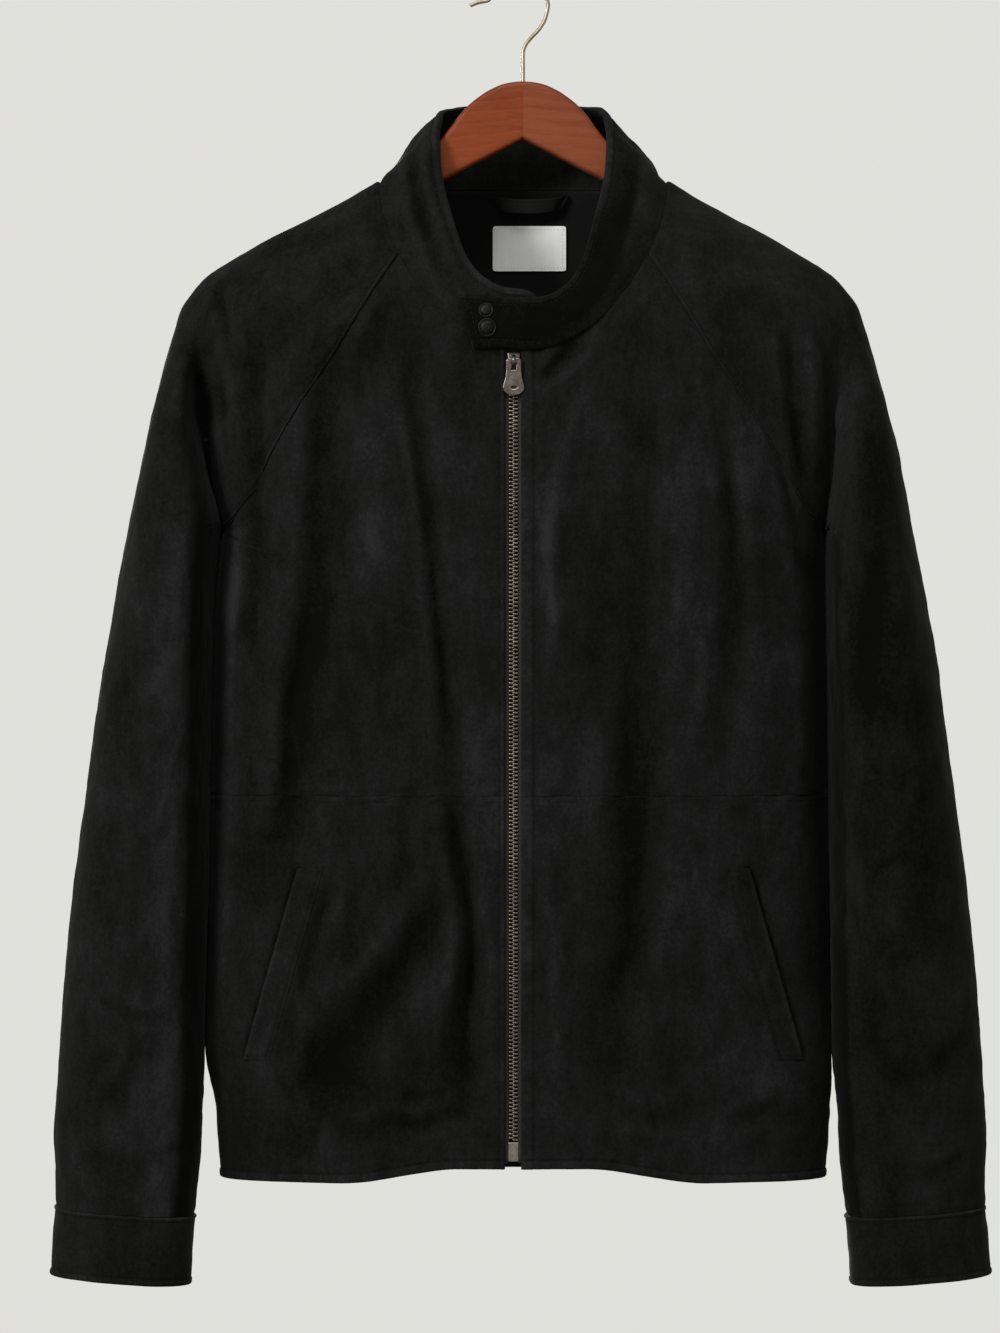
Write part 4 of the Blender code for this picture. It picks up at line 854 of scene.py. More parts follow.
def suede(name, dark=0.0019, light=0.0083):
    """Short-napped suede: cloudy brushed patches, streaks and flecks, a fibrous surface, and painted light and
    shade.
    """
    look = Look(
        name, Roughness=0.92, Sheen_Weight=0.03, Sheen_Roughness=0.5, Sheen_Tint=(0.62, 0.64, 0.62, 1),
        Specular_IOR_Level=0.03,
    )
    cloud = look.noise(26.0, 4.0, 0.62, 0.35, (1, 1, 0.62))
    brush = look.noise(115.0, 5.0, 0.66, 0.6, (1, 1, 0.34), 0.22)
    streak = look.noise(110.0, 3.0, 0.6, 0.4, (0.35, 1, 2.0))
    fleck = look.noise(430.0, 3.0, 0.65)
    fibre = look.noise(2600.0, 2.0, 0.6)
    crinkle = look.noise(70.0, 5.0, 0.6, 0.6, (1, 1, 0.6))
    tone = look.tone()
    value = look.ranged(look.total((cloud, 0.40), (brush, 0.27), (streak, 0.06), (fleck, 0.27)), 0.405, 0.605)
    value = look.scaled(value, 0.58, 0.18)
    # The meshes' tone holds painted light on ridges and painted shade in folds, seams and gaps, and lifts or lowers
    # the value
    value = look.scaled(value, 1.0, look.scaled(tone, 1.1, -0.55))
    cool, warm = np.array((0.97, 1.0, 0.985)), np.array((1.0, 0.985, 0.90))
    colour = look.ramp(
        value, (0.0, dark * 0.5 * warm), (0.3, mix(dark, light, 0.22) * warm), (0.65, mix(dark, light, 0.7) * cool),
        (1.0, light * 1.5 * cool),
    )
    # Painted shade: where the tone is lowest, as in the gap beside the sleeves, the colour is darkened further
    painted_shade_factor = look.ranged(tone, -0.35, 0.08, 0.22, 1.0)
    colour = look.node("VectorMath", {"Vector": colour, "Scale": painted_shade_factor}, operation="SCALE")
    height = look.total((fibre, 1.0), (fleck, 0.6), (brush, 0.8))
    relief = look.bump(height, 0.6, 0.25, Normal=look.bump(crinkle, 0.9, 0.9))
    return look.finished(colour, look.ranged(brush, 0.3, 0.7, 0.84, 0.97), relief)


def twill(name, colour, scale=1500.0, gloss=0.55, turn=0.785):
    """A woven cloth with fine diagonal ribs and threads of slightly different tones."""
    look = Look(name, Roughness=gloss, Sheen_Weight=0.02, Sheen_Roughness=0.5, Specular_IOR_Level=0.03)
    ribs = look.node("TexWave", {
        "Vector": look.place(turn=turn), "Scale": scale / 6.2, "Distortion": 0.6, "Detail": 2.0, "Detail Scale": 2.0,
    }, out=1, bands_direction="X")
    thread = look.noise(scale, 2.0, stretch=(1, 1, 0.2))
    patch = look.noise(30.0)
    colour = np.array(colour)
    value = look.total((thread, 0.4), (ribs, 0.35), (patch, 0.5))
    rough = look.ranged(patch, 0.3, 0.7, gloss - 0.08, gloss + 0.08)
    relief = look.bump(look.total((ribs, 1.0), (thread, 0.4)), 0.5, 0.12)
    return look.finished(look.ramp(value, (0.25, colour * 0.8), (0.95, colour * 1.18)), rough, relief)


def thread_material(name, colour):
    look = Look(name, Roughness=0.7, Sheen_Weight=0.01, Specular_IOR_Level=0.04)
    twist = look.noise(1900.0, 2.0)
    colour = look.ramp(twist, (0.3, np.array(colour) * 0.6), (0.75, np.array(colour) * 1.4))
    return look.finished(colour, None, look.bump(twist, 0.5, 0.1))


def metal(name, colour, rough, dark=0.5):
    """Cast and plated metal: fine scratches, duller hollows and small stains."""
    look = Look(name, Metallic=1.0, Roughness=rough)
    stain = look.noise(320.0, 4.0, 0.65)
    scratch = look.noise(2600.0, stretch=(1, 1, 0.12), turn=0.5)
    grime = look.noise(85.0)
    colour = np.array(colour)
    colour = look.ramp(look.total((stain, 0.5), (grime, 0.5)), (0.34, colour * dark), (0.62, colour))
    dull = look.ranged(look.total((stain, 0.5), (scratch, 0.5)), 0.3, 0.7, rough - 0.1, rough + 0.14)
    return look.finished(colour, dull, look.bump(scratch, 0.25, 0.04))


def wood(name, deep, pale, turn, seed):
    """Stained and varnished beech: long grain with short flecks, darker and redder at the rims, where that is
    painted shade.
    """
    look = Look(name, Roughness=0.45, Coat_Weight=0.03, Coat_Roughness=0.3, Specular_IOR_Level=0.12)
    run = (0.22, 1, 1.6)
    grain = look.noise(60.0 + seed, 5.0, 0.6, 1.1, run, turn)
    lines = look.node("TexWave", {
        "Vector": look.place(run, turn), "Scale": 34.0, "Distortion": 9.0, "Detail": 3.0, "Detail Scale": 0.7,
    }, out=1, bands_direction="Z", wave_profile="SAW")
    fleck = look.noise(520.0, 2.0, stretch=(0.3, 1, 1.9), turn=turn)
    value = look.total((lines, 0.12), (grain, 0.55), (fleck, 0.2))
    # The mesh's tone, with painted shade on the rims and towards the top, lowers the value
    value = look.scaled(value, 1.0, look.scaled(look.tone(), 0.9, -0.45))
    deep, pale = np.array(deep), np.array(pale)
    colour = look.ramp(value, (0.0, deep * 0.35), (0.22, deep), (0.45, mix(deep, pale, 0.55)), (0.75, pale))
    relief = look.bump(look.total((fleck, 1.0), (grain, 0.6)), 0.12, 0.1)
    return look.finished(colour, look.ranged(fleck, 0.3, 0.7, 0.34, 0.48), relief)


SUEDE = suede("suede")
# Painted light: a paler copy of the suede for the collar's inner face, which lies in shade
COLLAR_INSIDE_PAINTED_LIGHT = suede("suede_inside_painted_light", 0.0031, 0.0136)
LINING = twill("lining", (0.0056, 0.0056, 0.0059))
FACING = twill("neck_facing", (0.0064, 0.0064, 0.0064), 1900.0, 0.62)
LOOP = twill("loop_tape", (0.0085, 0.0085, 0.0082), 1900.0, 0.62)
LABEL = twill("label_cloth", (0.86, 0.86, 0.83), 2600.0, 0.75, 0.0)
TAPE = twill("zip_tape", (0.028, 0.021, 0.017), 2400.0, 0.7)
THREAD = thread_material("thread", (0.0055, 0.0055, 0.0057))
LABEL_THREAD = thread_material("label_thread", (0.50, 0.50, 0.48))
TEETH = metal("zip_metal", (0.155, 0.132, 0.105), 0.38, 0.4)
SLIDER = metal("slider_metal", (0.14, 0.136, 0.118), 0.36)
BOX = metal("box_metal", (0.26, 0.24, 0.20), 0.38)
PULL = metal("pull_metal", (0.165, 0.139, 0.124), 0.33)
TARNISH = metal("tarnish", (0.022, 0.0185, 0.016), 0.45)
SNAP = metal("snap_metal", (0.0112, 0.0112, 0.0101), 0.45, 0.6)
WIRE = metal("wire", (0.33, 0.285, 0.215), 0.42, 0.6)
WOODS = {
    -1: wood("wood_right", (0.110, 0.0190, 0.0046), (0.180, 0.0380, 0.0090), 0.65, 0.0),
    1: wood("wood_left", (0.102, 0.0200, 0.0075), (0.165, 0.0440, 0.0165), -0.65, 7.0),
}


# ---- Placing

made_threads = []


def sew(*line, **size):
    made_threads.append(stitches(*line, **size))


def settle(obj, slot, *nodes, body="jacket"):
    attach(obj, body)
    if nodes:
        obj.name = nodes[0] + "_piece"
        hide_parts(*nodes)


def place_sheet(name, outer, inner, materials, *nodes, slot="suede", held="hung", **looks):
    obj = wall(name, outer, inner, materials, **looks)
    settle(obj, slot, *(nodes or [name]))
    worn = name.rpartition("_")[2]
    sided = worn in SIDES.values()
    flat, area, rests = SHEETS[name[: -len(worn) - 1] if sided else name]
    if sided:
        rests = rests.replace("_right", "_" + worn)


# ---- Seams and edges


def rolled(far, radius=1.0):
    """The cloth turns in at its very edge."""
    share = 1 - np.clip(far / radius, 0, 1)
    return -radius * (1 - np.sqrt(1 - share**2))


def sewn_over(far, along, seed, width=STITCH_IN, rise=0.55, roll=1.1):
    """Relief of an edge that is turned under and topstitched down, with soft puckers."""
    band = rise * (1 - ease(width - 0.9, width + 0.5, far))
    groove = -0.5 * bell(far - width, 0.55)
    swell = 0.22 * bell(far - width * 0.5, width * 0.4)
    pucker = 0.16 * waves(along, 0 * along, seed, 7, 19) * bell(far - width, width)
    return rolled(far, roll) + band + groove + swell + pucker


def dipped(kind, far, along, seed, dip=None):
    """Relief of an edge that dips into its seam, with puckers."""
    roll, usual, width, amount, low, high, reach = kind
    pucker = amount * waves(along, 0 * along, seed, low, high) * bell(far, reach)
    return rolled(far, roll) - (dip or usual) * (1 - ease(0.0, width, far)) + pucker


def above_armpit(z):
    return ease(ARMPIT_Z - 2, ARMPIT_Z + 4, z)


def side_seam(far, z, raglan_seed, plain_seed):
    """Relief of a body panel's edge, which runs under the sleeve above the armpit and is plain below it."""
    above = above_armpit(z)
    return above * dipped(UNDER, far, z, raglan_seed) + (1 - above) * dipped(PLAIN, far, z, plain_seed)


def seam_band_and_groove_shade(far, width=STITCH_IN):
    """A raised seam's tone: paler on its band, and painted shade in its stitch groove."""
    return 0.13 * (1 - ease(width - 1, width + 1, far)) - 0.18 * bell(far - width, 0.8)


def close_seam(points, middle, sign, column, rows):
    """Brings a panel's edge to where the front meets the back."""
    points[rows, column, 1] = (middle + sign * SEAM / 2 + 0 * points[..., 1])[rows, column]


def finish_panel(name, points, relief, tone, sign, *nodes, turned=None, middle=0.0, side=None):
    """Lifts a panel by its relief and gives it a wall and a lining. turned marks where suede is turned in."""
    n = normals(points, (0.0, sign, 0.0))
    outer, inner = off(points, n, relief), off(points, n, np.minimum(relief, INNER_FOLLOWS) - WALL)
    limit = middle + sign * SEAM / 2
    inner[..., 1] = np.where((inner[..., 1] - limit) * sign < 0, limit, inner[..., 1])
    if side is not None:
        outer, inner = tilted(outer, side), tilted(inner, side)
    lined = None if turned is None else ~turned[:-1, :-1]
    place_sheet(name, outer, inner, [SUEDE, LINING], *nodes, lined=lined, tone=0.5 + tone, bulge=0.1)
    return outer, n


def line_at(outer, n, far, distance, rows=True, axis=1):
    """Points and normals on a grid that lie a distance from one edge."""
    if axis == 0:
        outer, n, far = outer.transpose(1, 0, 2), n.transpose(1, 0, 2), far.T
    hit = np.argmin(np.abs(far - distance), axis=1)
    pick = np.arange(len(hit))
    good = (np.abs(far[pick, hit] - distance) < STITCH_SLACK) & rows
    return outer[pick[good], hit[good]], n[pick[good], hit[good]]


# Painted light and shade of folds: darker in their troughs and paler on their ridges
def painted_fold_shading(x, z, face):
    return np.clip(-folds_at(x, z, BODY_FOLDS[face]) * FOLD_SHADING_PAINT, -0.42, 0.2)


def painted_side_shading(side, x, z):
    """Painted shade where a front's side seam turns into the gap, with painted light beside it on the wearer's
    right.
    """
    near = body_edge(side, z) - np.abs(x)
    if side > 0:
        return -0.42 * (1 - ease(3.0, 12.0, near))
    pale = 0.12 + 0.18 * ease(-540.0, -430.0, z)
    return pale * bell(near - 12.5, 6.0) - 0.75 * (1 - ease(3.0, 7.5, near)) - 0.08 * bell(near - 27.0, 7.0)


# ---- The body's panels


def front_place(side, upper):
    start = OPENING_X[side]
    join = CROSS_SEAM_Z + SEAM / 2 if upper else CROSS_SEAM_Z - SEAM / 2
    first = math.copysign(neck_angle(abs(start)), start * side)
    last = neck_angle(float(raglan["front"](RAGLAN_TOP_Z)))

    def top(t):
        if upper:
            x, z = neck_point(mix(first, last, t))
            return side * x, z - NECK_LAP
        return mix(start, side * body_edge(side, join), t), join + 0 * t

    def bottom(t):
        x = mix(start, side * body_edge(side, join if upper else SIDE_HEM_Z), t)
        return x, join + 0 * t if upper else hem_z(x)

    ends = np.array((0.0, 1.0))
    top_ends, bottom_ends = np.array(top(ends)), np.array(bottom(ends))

    def place(t, v):
        z = mix(top_ends[1, 1], bottom_ends[1, 1], v)
        edge = np.where(z > ARMPIT_Z, raglan["front"](z) - SEAM / 2, body_edge(side, z))
        left, right = (start + 0 * v, mix(top_ends[1, 0], bottom_ends[1, 0], v)), (side * edge, z)
        out = []
        for i in (0, 1):
            corners = mix(mix(*top_ends[i], t), mix(*bottom_ends[i], t), v)
            out.append(mix(left[i], right[i], t) + mix(top(t)[i], bottom(t)[i], v) - corners)
        return out

    return place


def patchy(x, side):
    """How clearly the cross seam shows at each place along it."""
    return np.clip(0.5 + 0.6 * waves(x, 0 * x, 150 + side, 22, 70), 0.08, 1.0)


def front_panel(side, upper, rows):
    name = f"front_{'upper' if upper else 'lower'}_{SIDES[side]}"
    x, z, far = spread(
        front_place(side, upper), lambda x, z: skin(x, z, "front", plain=True), rows, 76, fine=(420, 260)
    )
    points = skin(x, z, "front")
    close_seam(points, 0.0, -1, -1, z[:, -1] < ARMPIT_Z)
    seed = 100 + 10 * side + upper
    stitch = PLACKET_STITCH[side]
    relief = wavy(x, z, seed, GRAIN) + sewn_over(far["left"], z, seed + 1, stitch, 0.4, 1.2)
    # The placket seam's band, with painted shade in its stitch groove
    tone = seam_band_and_groove_shade(far["left"], stitch)
    turned = far["left"] < FRONT_FACING
    if upper:
        above = above_armpit(z)
        relief += side_seam(far["right"], z, seed + 2, seed + 3) + dipped(SOFT, far["top"], x, seed + 4)
        relief += patchy(x, side) * dipped(UNDER, far["bottom"], x, seed + 5, 0.12)
        relief += 0.25 * waves(x, z, seed + 8, 9, 26, 0.6) * bell(far["bottom"], 8.0)
        # Painted shade along the raglan seam, and painted light and shade at the side seam below the armpit
        tone -= 0.06 * bell(far["right"], 2.5) * above
        tone += painted_side_shading(side, x, z) * (1 - above)
    else:
        relief += dipped(PLAIN, far["right"], z, seed + 3)
        relief += sewn_over(far["top"], x, seed + 5, 4.1, 0.12, 0.3) * 0.6 * patchy(x, side)
        relief += 0.3 * waves(x, z, seed + 8, 9, 26, 0.6) * bell(far["top"], 9.0)
        relief += sewn_over(far["bottom"], x, seed + 6, HEM_STITCH, 0.6, 1.5)
        # Painted shade at the side seam, fading out towards the hem, and the hem's band with painted shade in its
        # groove
        tone += painted_side_shading(side, x, z) * ease(*SIDE_SHADE_END, z) + seam_band_and_groove_shade(far["bottom"], HEM_STITCH)
        tone += 0.13 * bell(far["top"] - 3.0, 4.0) * (patchy(x, side) - 0.45)
        turned = turned | (far["bottom"] < HEM_FACING)
        across, within = pocket_slit(x, z)
        relief -= SLIT_DEPTH * within * bell(across - 1.0, 2.1)
        # Painted shade in the pocket's slit
        tone -= 0.55 * within * bell(across - 0.8, 2.2)
    # Painted light and shade of the front's folds
    tone += painted_fold_shading(x, z, "front")
    # Painted highlight on the placket beside the opening, weaker lower down
    placket_highlight = (1 - ease(18.0, 34.0, far["left"])) * ease(300.0, 350.0, -z)
    tone += 0.16 * placket_highlight * (1 - 0.7 * ease(520.0, 640.0, -z))
    # Painted light on the chest, 70 to 192 mm out to the wearer's left, below 230 mm
    tone += 0.13 * ease(70.0, 120.0, x) * (1 - ease(172.0, 192.0, x)) * ease(230.0, 290.0, -z)
    outer, n = finish_panel(name, points, relief, tone, -1, turned=turned)
    sew(*line_at(outer, n, far["left"], stitch))
    if not upper:
        sew(*line_at(outer, n, far["bottom"], HEM_STITCH, axis=0))


def back_panel():
    def place(t, v):
        z = mix(NECK_SIDE_Z - NECK_LAP, SIDE_HEM_Z, v)
        edges = [np.where(z > ARMPIT_Z, raglan["back"](z) - SEAM / 2, body_edge(one, z)) for one in SIDES]
        return mix(-edges[0], edges[1], t), z

    x, z, far = spread(place, lambda x, z: skin(x, z, "back", plain=True), 170, 140, fine=(700, 400))
    points = skin(x, z, "back")
    relief = wavy(x, z, 300, GRAIN)
    above, tone = above_armpit(z), np.zeros(x.shape)
    for i, key in enumerate(("left", "right")):
        close_seam(points, 0.0, 1, -i, z[:, -i] < ARMPIT_Z)
        relief += side_seam(far[key], z, 301 + i, 303 + i)
        # Painted shade along the raglan seams, and beside the side seams below the armpit, fading out towards the
        # hem
        tone -= 0.06 * bell(far[key], 2.5) * above
        tone -= 0.3 * bell(far[key], 11.0) * (1 - above) * ease(*SIDE_SHADE_END, z)
    relief += dipped(SOFT, far["top"], x, 305) + sewn_over(far["bottom"], x, 306, HEM_STITCH, 0.6, 1.5)
    # The hem's band with painted shade in its stitch groove, and painted light and shade of the back's folds
    tone += seam_band_and_groove_shade(far["bottom"], HEM_STITCH) + painted_fold_shading(x, z, "back")
    outer, n = finish_panel("back", points, relief, tone, 1, turned=far["bottom"] < HEM_FACING)
    sew(*line_at(outer, n, far["bottom"], HEM_STITCH, axis=0))


# ---- Sleeves and cuffs


def painted_sleeve_shading(side, face, x, z, raglan_part):
    """Painted light and shade on a sleeve: dark on its inner side, where it turns into the gap, and paler beside
    that.
    """
    near = side * (x - inner_x(side, z))
    below = 1 - ease(ARMPIT_Z - 34.0, ARMPIT_Z + 14.0, z)
    # On the back, painted shade within about 13 mm of the inner edge, below the armpit
    if face == "back":
        return -0.25 * (1 - ease(3.0, 13.0, near)) * below
    if side < 0:
        # On the wearer's right, painted light beside the dark edge, and painted shade above the armpit and along the
        # gap's shade line
        band = 0.30 * bell(near - 23.0, 9.0) - 0.85 * (1 - ease(8.0, 15.5, near)) + 0.05
        return band * below - 0.10 * raglan_part - 0.15 * folds_at(x, z, [GAP_SHADE_LINE])
    # On the wearer's left, a band of painted shade beside the dark edge, stronger higher up
    upper = 0.35 + 0.65 * ease(-620.0, -460.0, z)
    return -0.85 * (1 - ease(4.0, 9.5, near)) * below - 0.28 * upper * bell(near - 27.0, 12.0) - 0.05 * below


def sleeve_panel(side, face):
    sign, worn = FACES[face], SIDES[side]

    def start(z):
        neck = side * (neck_x(z) + NECK_LAP)
        seam = side * (raglan[face](z) + SEAM / 2)
        upper = np.where(z > RAGLAN_TOP_Z, neck, seam) if face == "front" else seam
        return np.where(z > ARMPIT_Z, upper, inner_x(side, z))

    def place(t, v):
        z = mix(NECK_SIDE_Z - NECK_LAP, SLEEVE_END_Z, v)
        return mix(start(z), outer_x(side, z), t), z

    x, z, far = spread(place, lambda x, z: skin(x, z, face, "sleeve"), 200, 46, fine=(900, 240))
    points = skin(x, z, face, "sleeve")
    left, right = far["left"], far["right"]
    seed = 400 + 20 * side + (5 if face == "back" else 0)
    calm = ease(0.0, 22.0, right) * ease(0.0, 14.0, left)
    calm = calm * ease(8.0, 60.0, np.hypot(x - side * ARMPIT_X, (z - ARMPIT_Z) * 0.75))
    push = folds_at(x, z, SLEEVE_FOLDS[side, face]) + wavy(right, z, seed, SLEEVE_WAVES)
    relief = -push * calm + wavy(x, z, seed + 2, GRAIN)
    raglan_part = above_armpit(z)
    neck_part = ease(RAGLAN_TOP_Z - 2, RAGLAN_TOP_Z + 3, z) if face == "front" else 0.0
    over = raglan_part * (1 - neck_part)
    rise = RAGLAN_RISE[side]
    relief += over * sewn_over(left, z, seed + 3, rise=rise) + (1 - over) * dipped(PLAIN, left, z, seed + 4)
    relief += dipped(PLAIN, right, z, seed + 5) + dipped(SOFT, far["top"], x, seed + 6)
    relief += dipped(UNDER, far["bottom"], x, seed + 7, 0.5)
    # The raised seam's band with painted shade in its groove, and painted shade in the sleeve's folds with painted
    # light on ridges
    tone = over * seam_band_and_groove_shade(left) * rise * 1.8 + np.clip(-push * calm * 0.05, -0.34, 0.15)
    # Painted shade at the sleeve's inner side, beside the gap
    tone += painted_sleeve_shading(side, face, x, z, raglan_part)
    followed = body_push(start(z), z, face) * ease(0.0, FOLD_ROOM, np.abs(points[..., 1]))
    relief -= followed * over * (1 - ease(0.0, 16.0, left))
    middle = np.where(z < ARMPIT_Z, sleeve_forward(z), 0.0)
    close_seam(points, middle, sign, -1, slice(None))
    close_seam(points, middle, sign, 0, z[:, 0] < ARMPIT_Z)
    name = f"sleeve_{face}_{worn}"
    nodes = [name] if face == "back" else [f"sleeve_front_upper_{worn}", f"sleeve_front_lower_{worn}"]
    outer, n = finish_panel(name, points, relief, tone, sign, *nodes, middle=middle, side=side)
    rows = (z[:, 0] < (RAGLAN_TOP_Z if face == "front" else NECK_SIDE_Z - 4)) & (z[:, 0] > ARMPIT_Z + 2)
    sew(*line_at(outer, n, left, STITCH_IN, rows))


def rounded(angle):
    """Cosine and sine, pressed out to the sleeve's section."""
    return [np.sign(v) * np.abs(v) ** (2 / SLEEVE_POWER) for v in (np.cos(angle), np.sin(angle))]


def cuff(side):
    total = SLEEVE_END_Z - SEAM - CUFF_END_Z
    down = stations([total], 10, CUFF_EDGE)[0]
    c, s = rounded(full_turn(720))
    grids = []
    for inset in (0.0, WALL):
        rows = []
        for z in SLEEVE_END_Z - SEAM - down:
            outer, inner = outer_x(side, z), inner_x(side, z)
            x = (outer + inner) / 2 + (abs(outer - inner) / 2 - inset) * c
            y = sleeve_forward(z) + (sleeve_depth(z) - inset) * s
            ring = xyz(x, y, np.full_like(x, z))
            closed = np.vstack([ring, ring[:1]])
            far = lengths(closed)
            rows.append(along_line(closed, far, np.linspace(0, far[-1], CUFF_COLUMNS, endpoint=False)))
        grids.append(np.array(rows))
    points, inner = grids
    out = unit(points - inner)
    out[..., 2] = 0
    out = unit(out)
    around = full_turn(CUFF_COLUMNS)[None] + 0 * down[:, None]
    top, bottom = down[:, None] + 0 * around, total - down[:, None] + 0 * around
    seed = 600 + side
    high, low = CUFF_STITCHES
    length = 26 * around
    relief = 0.45 * np.sin(3 * around + side) * ease(0, 25, top) + 0.3 * np.sin(7 * around + 2.0 * top / total)
    relief += 0.12 * waves(length, top, seed, 10, 26)
    relief += sewn_over(top, length, seed + 1, high, 0.5, 1.0) + sewn_over(bottom, length, seed + 2, low, 0.5, 1.5)
    # Seam bands, with painted shade in their stitch grooves
    tone = 0.5 + seam_band_and_groove_shade(top, high) + seam_band_and_groove_shade(bottom, low)
    outer = tilted(off(points, out, relief), side)
    lining = tilted(off(inner, out, relief * 0.6 * (relief < 0)), side)
    lined = top[:-1] < CUFF_FACING
    place_sheet(f"cuff_{SIDES[side]}", outer, lining, [SUEDE, LINING], lined=lined, tone=tone, ring=True)
    for row, distance in ((top, high), (bottom, low)):
        i = int(np.argmin(np.abs(row[:, 0] - distance)))
        sew(np.vstack([outer[i], outer[i, :1]]), np.vstack([out[i], out[i, :1]]))


# ---- Collar


def collar_ends(angle):
    """The collar's base and rim at angles round the neck, which start at the front and turn to the right."""
    turn = np.radians(angle)
    mirrored = np.abs(np.where(angle <= 180, angle, 360 - angle))
    over = ease(*OVERLAP_ANGLES, angle)
    x, z = neck_point(np.arcsin(np.clip(np.sin(turn), -1, 1)))
    front = skin(-x, z, "front", plain=True)
    behind = skin(-NECK_HALF_WIDTH * np.sin(turn), NECK_SIDE_Z + 0 * x, "back", plain=True)
    base = np.where((np.cos(turn) > -0.001)[:, None], front, behind)
    base[:, 2] += COLLAR_GAP
    z = rim_height(mirrored) - OVERLAP_DROP * over - UNDERLAP_FALL * ease(1.0, 13.0, -angle)
    rim = xyz(-RIM_HALF_WIDTH * np.sin(turn), RIM_MIDDLE_Y - RIM_HALF_DEPTH * np.cos(turn), z)
    outward = xyz(-np.sin(turn), -np.cos(turn), 0 * turn)
    lift = outward * (OVERLAP_LIFT * over)[:, None]
    return base + lift, rim + lift, outward


def collar():
    angles = np.linspace(UNDERLAP_ANGLE, 360, 900)
    base, rim, out = collar_ends(angles)
    tab_rim, tab_base = (
        curve_through([line[-1]] + [row[i] for row in TAB], 12)[1:] for i, line in enumerate((rim, base))
    )
    base, rim = np.vstack([base, tab_base]), np.vstack([rim, tab_rim])
    out = np.vstack([out, np.tile(unit(np.array((-0.2, -1.0, 0.0))), (len(tab_rim), 1))])
    angle = np.concatenate([angles, np.linspace(360, 400, len(tab_rim) + 1)[1:]])
    far = (lengths(base) + lengths(rim)) / 2
    at = stations([far[-1]], 170)[0]
    base, rim, out = (along_line(line, far, at) for line in (base, rim, out))
    for _ in range(3):
        for line in (base, rim, out):
            line[2:-2] = (line[1:-3] + 2 * line[2:-2] + line[3:-1]) / 4
    rise = np.linalg.norm(rim - base, axis=-1)
    up = stations(rise, 16)
    t = (up / rise[:, None]).T
    sideways = xyz(out[:, 1], -out[:, 0], 0 * at)
    normal = unit(np.cross(unit(rim - base), sideways))
    normal *= np.sign(np.sum(normal * out, axis=-1, keepdims=True))
    points = base[None] + (rim - base)[None] * t[..., None]
    points += normal[None] * (COLLAR_BULGE * np.sin(np.pi * t))[..., None]
    from_base, from_rim = up.T, (rise[:, None] - up).T
    s = at[None] + 0 * t
    end = far[-1] - s
    deg = np.interp(at, far, angle)[None] + 0 * t
    on_tab = ease(348, 362, deg)
    sides = bell(deg - 66, 26) + bell(deg - 294, 26)
    ridge = 1.7 * bell(from_rim - 11, 3.2) * bell(deg - 66, 24) - 1.9 * bell(from_rim - 22, 4.5) * sides
    ridge += 1.0 * bell(from_rim - 30, 5.0) * sides
    relief = wavy(s, from_base, 700, COLLAR_WAVES) * ease(0, 9, from_base) + ridge + wavy(s, from_base, 702, GRAIN)
    relief += sewn_over(from_rim, s, 703, STITCH_IN, 0.35, 1.4) + dipped(SOFT, from_base, s, 704)
    relief += sewn_over(end, from_base, 705, STITCH_IN, 0.3, 1.3) + rolled(s, 1.3)
    relief += on_tab * sewn_over(from_base, s, 706, STITCH_IN, 0.3, 1.2)
    # Painted light on ridges and the rim, painted shade in troughs and seam grooves, and a little darker overall
    tone = 0.5 + seam_band_and_groove_shade(from_rim) + seam_band_and_groove_shade(end) + np.clip(ridge * 0.17, -0.32, 0.26)
    tone += 0.06 * bell(from_rim, 2.2) + on_tab * seam_band_and_groove_shade(from_base) - 0.08
    # Painted shade on the wearer's left side of the collar, away from the key lamp, and in a band below the rim
    # there
    tone -= 0.34 * ease(285, 312, deg) * (1 - 0.6 * ease(14, 34, from_rim) * (1 - on_tab))
    tone -= 0.26 * ease(262, 292, deg) * bell(from_rim - 15.0, 8.0) * (1 - on_tab)
    tone += 0.10 * bell(from_rim - 2.5, 2.5)
    n = normals(points, out[None] + 0 * points)
    outer = off(points, n, relief)
    inner = off(points, n, np.minimum(relief, 0.0) * 0.4) - n * COLLAR_WALL
    inner = off(inner, n, 0.25 * waves(s, from_base, 710, 20, 50) - 0.3 * bell(from_rim - STITCH_IN, 0.6))
    place_sheet("collar", outer, inner, [SUEDE, COLLAR_INSIDE_PAINTED_LIGHT], tone=tone, bulge=0.42)
    sew(*line_at(outer, n, from_rim, STITCH_IN, axis=0))
    sew(*line_at(inner, -n, from_rim, STITCH_IN, axis=0))
    sew(*line_at(outer, n, end, STITCH_IN))
    sew(*line_at(outer, n, from_base, STITCH_IN, deg[0] > 352, axis=0))
    return outer, n, deg


# ---- Flat pieces: pocket welts, neck facing, label, loop, tapes


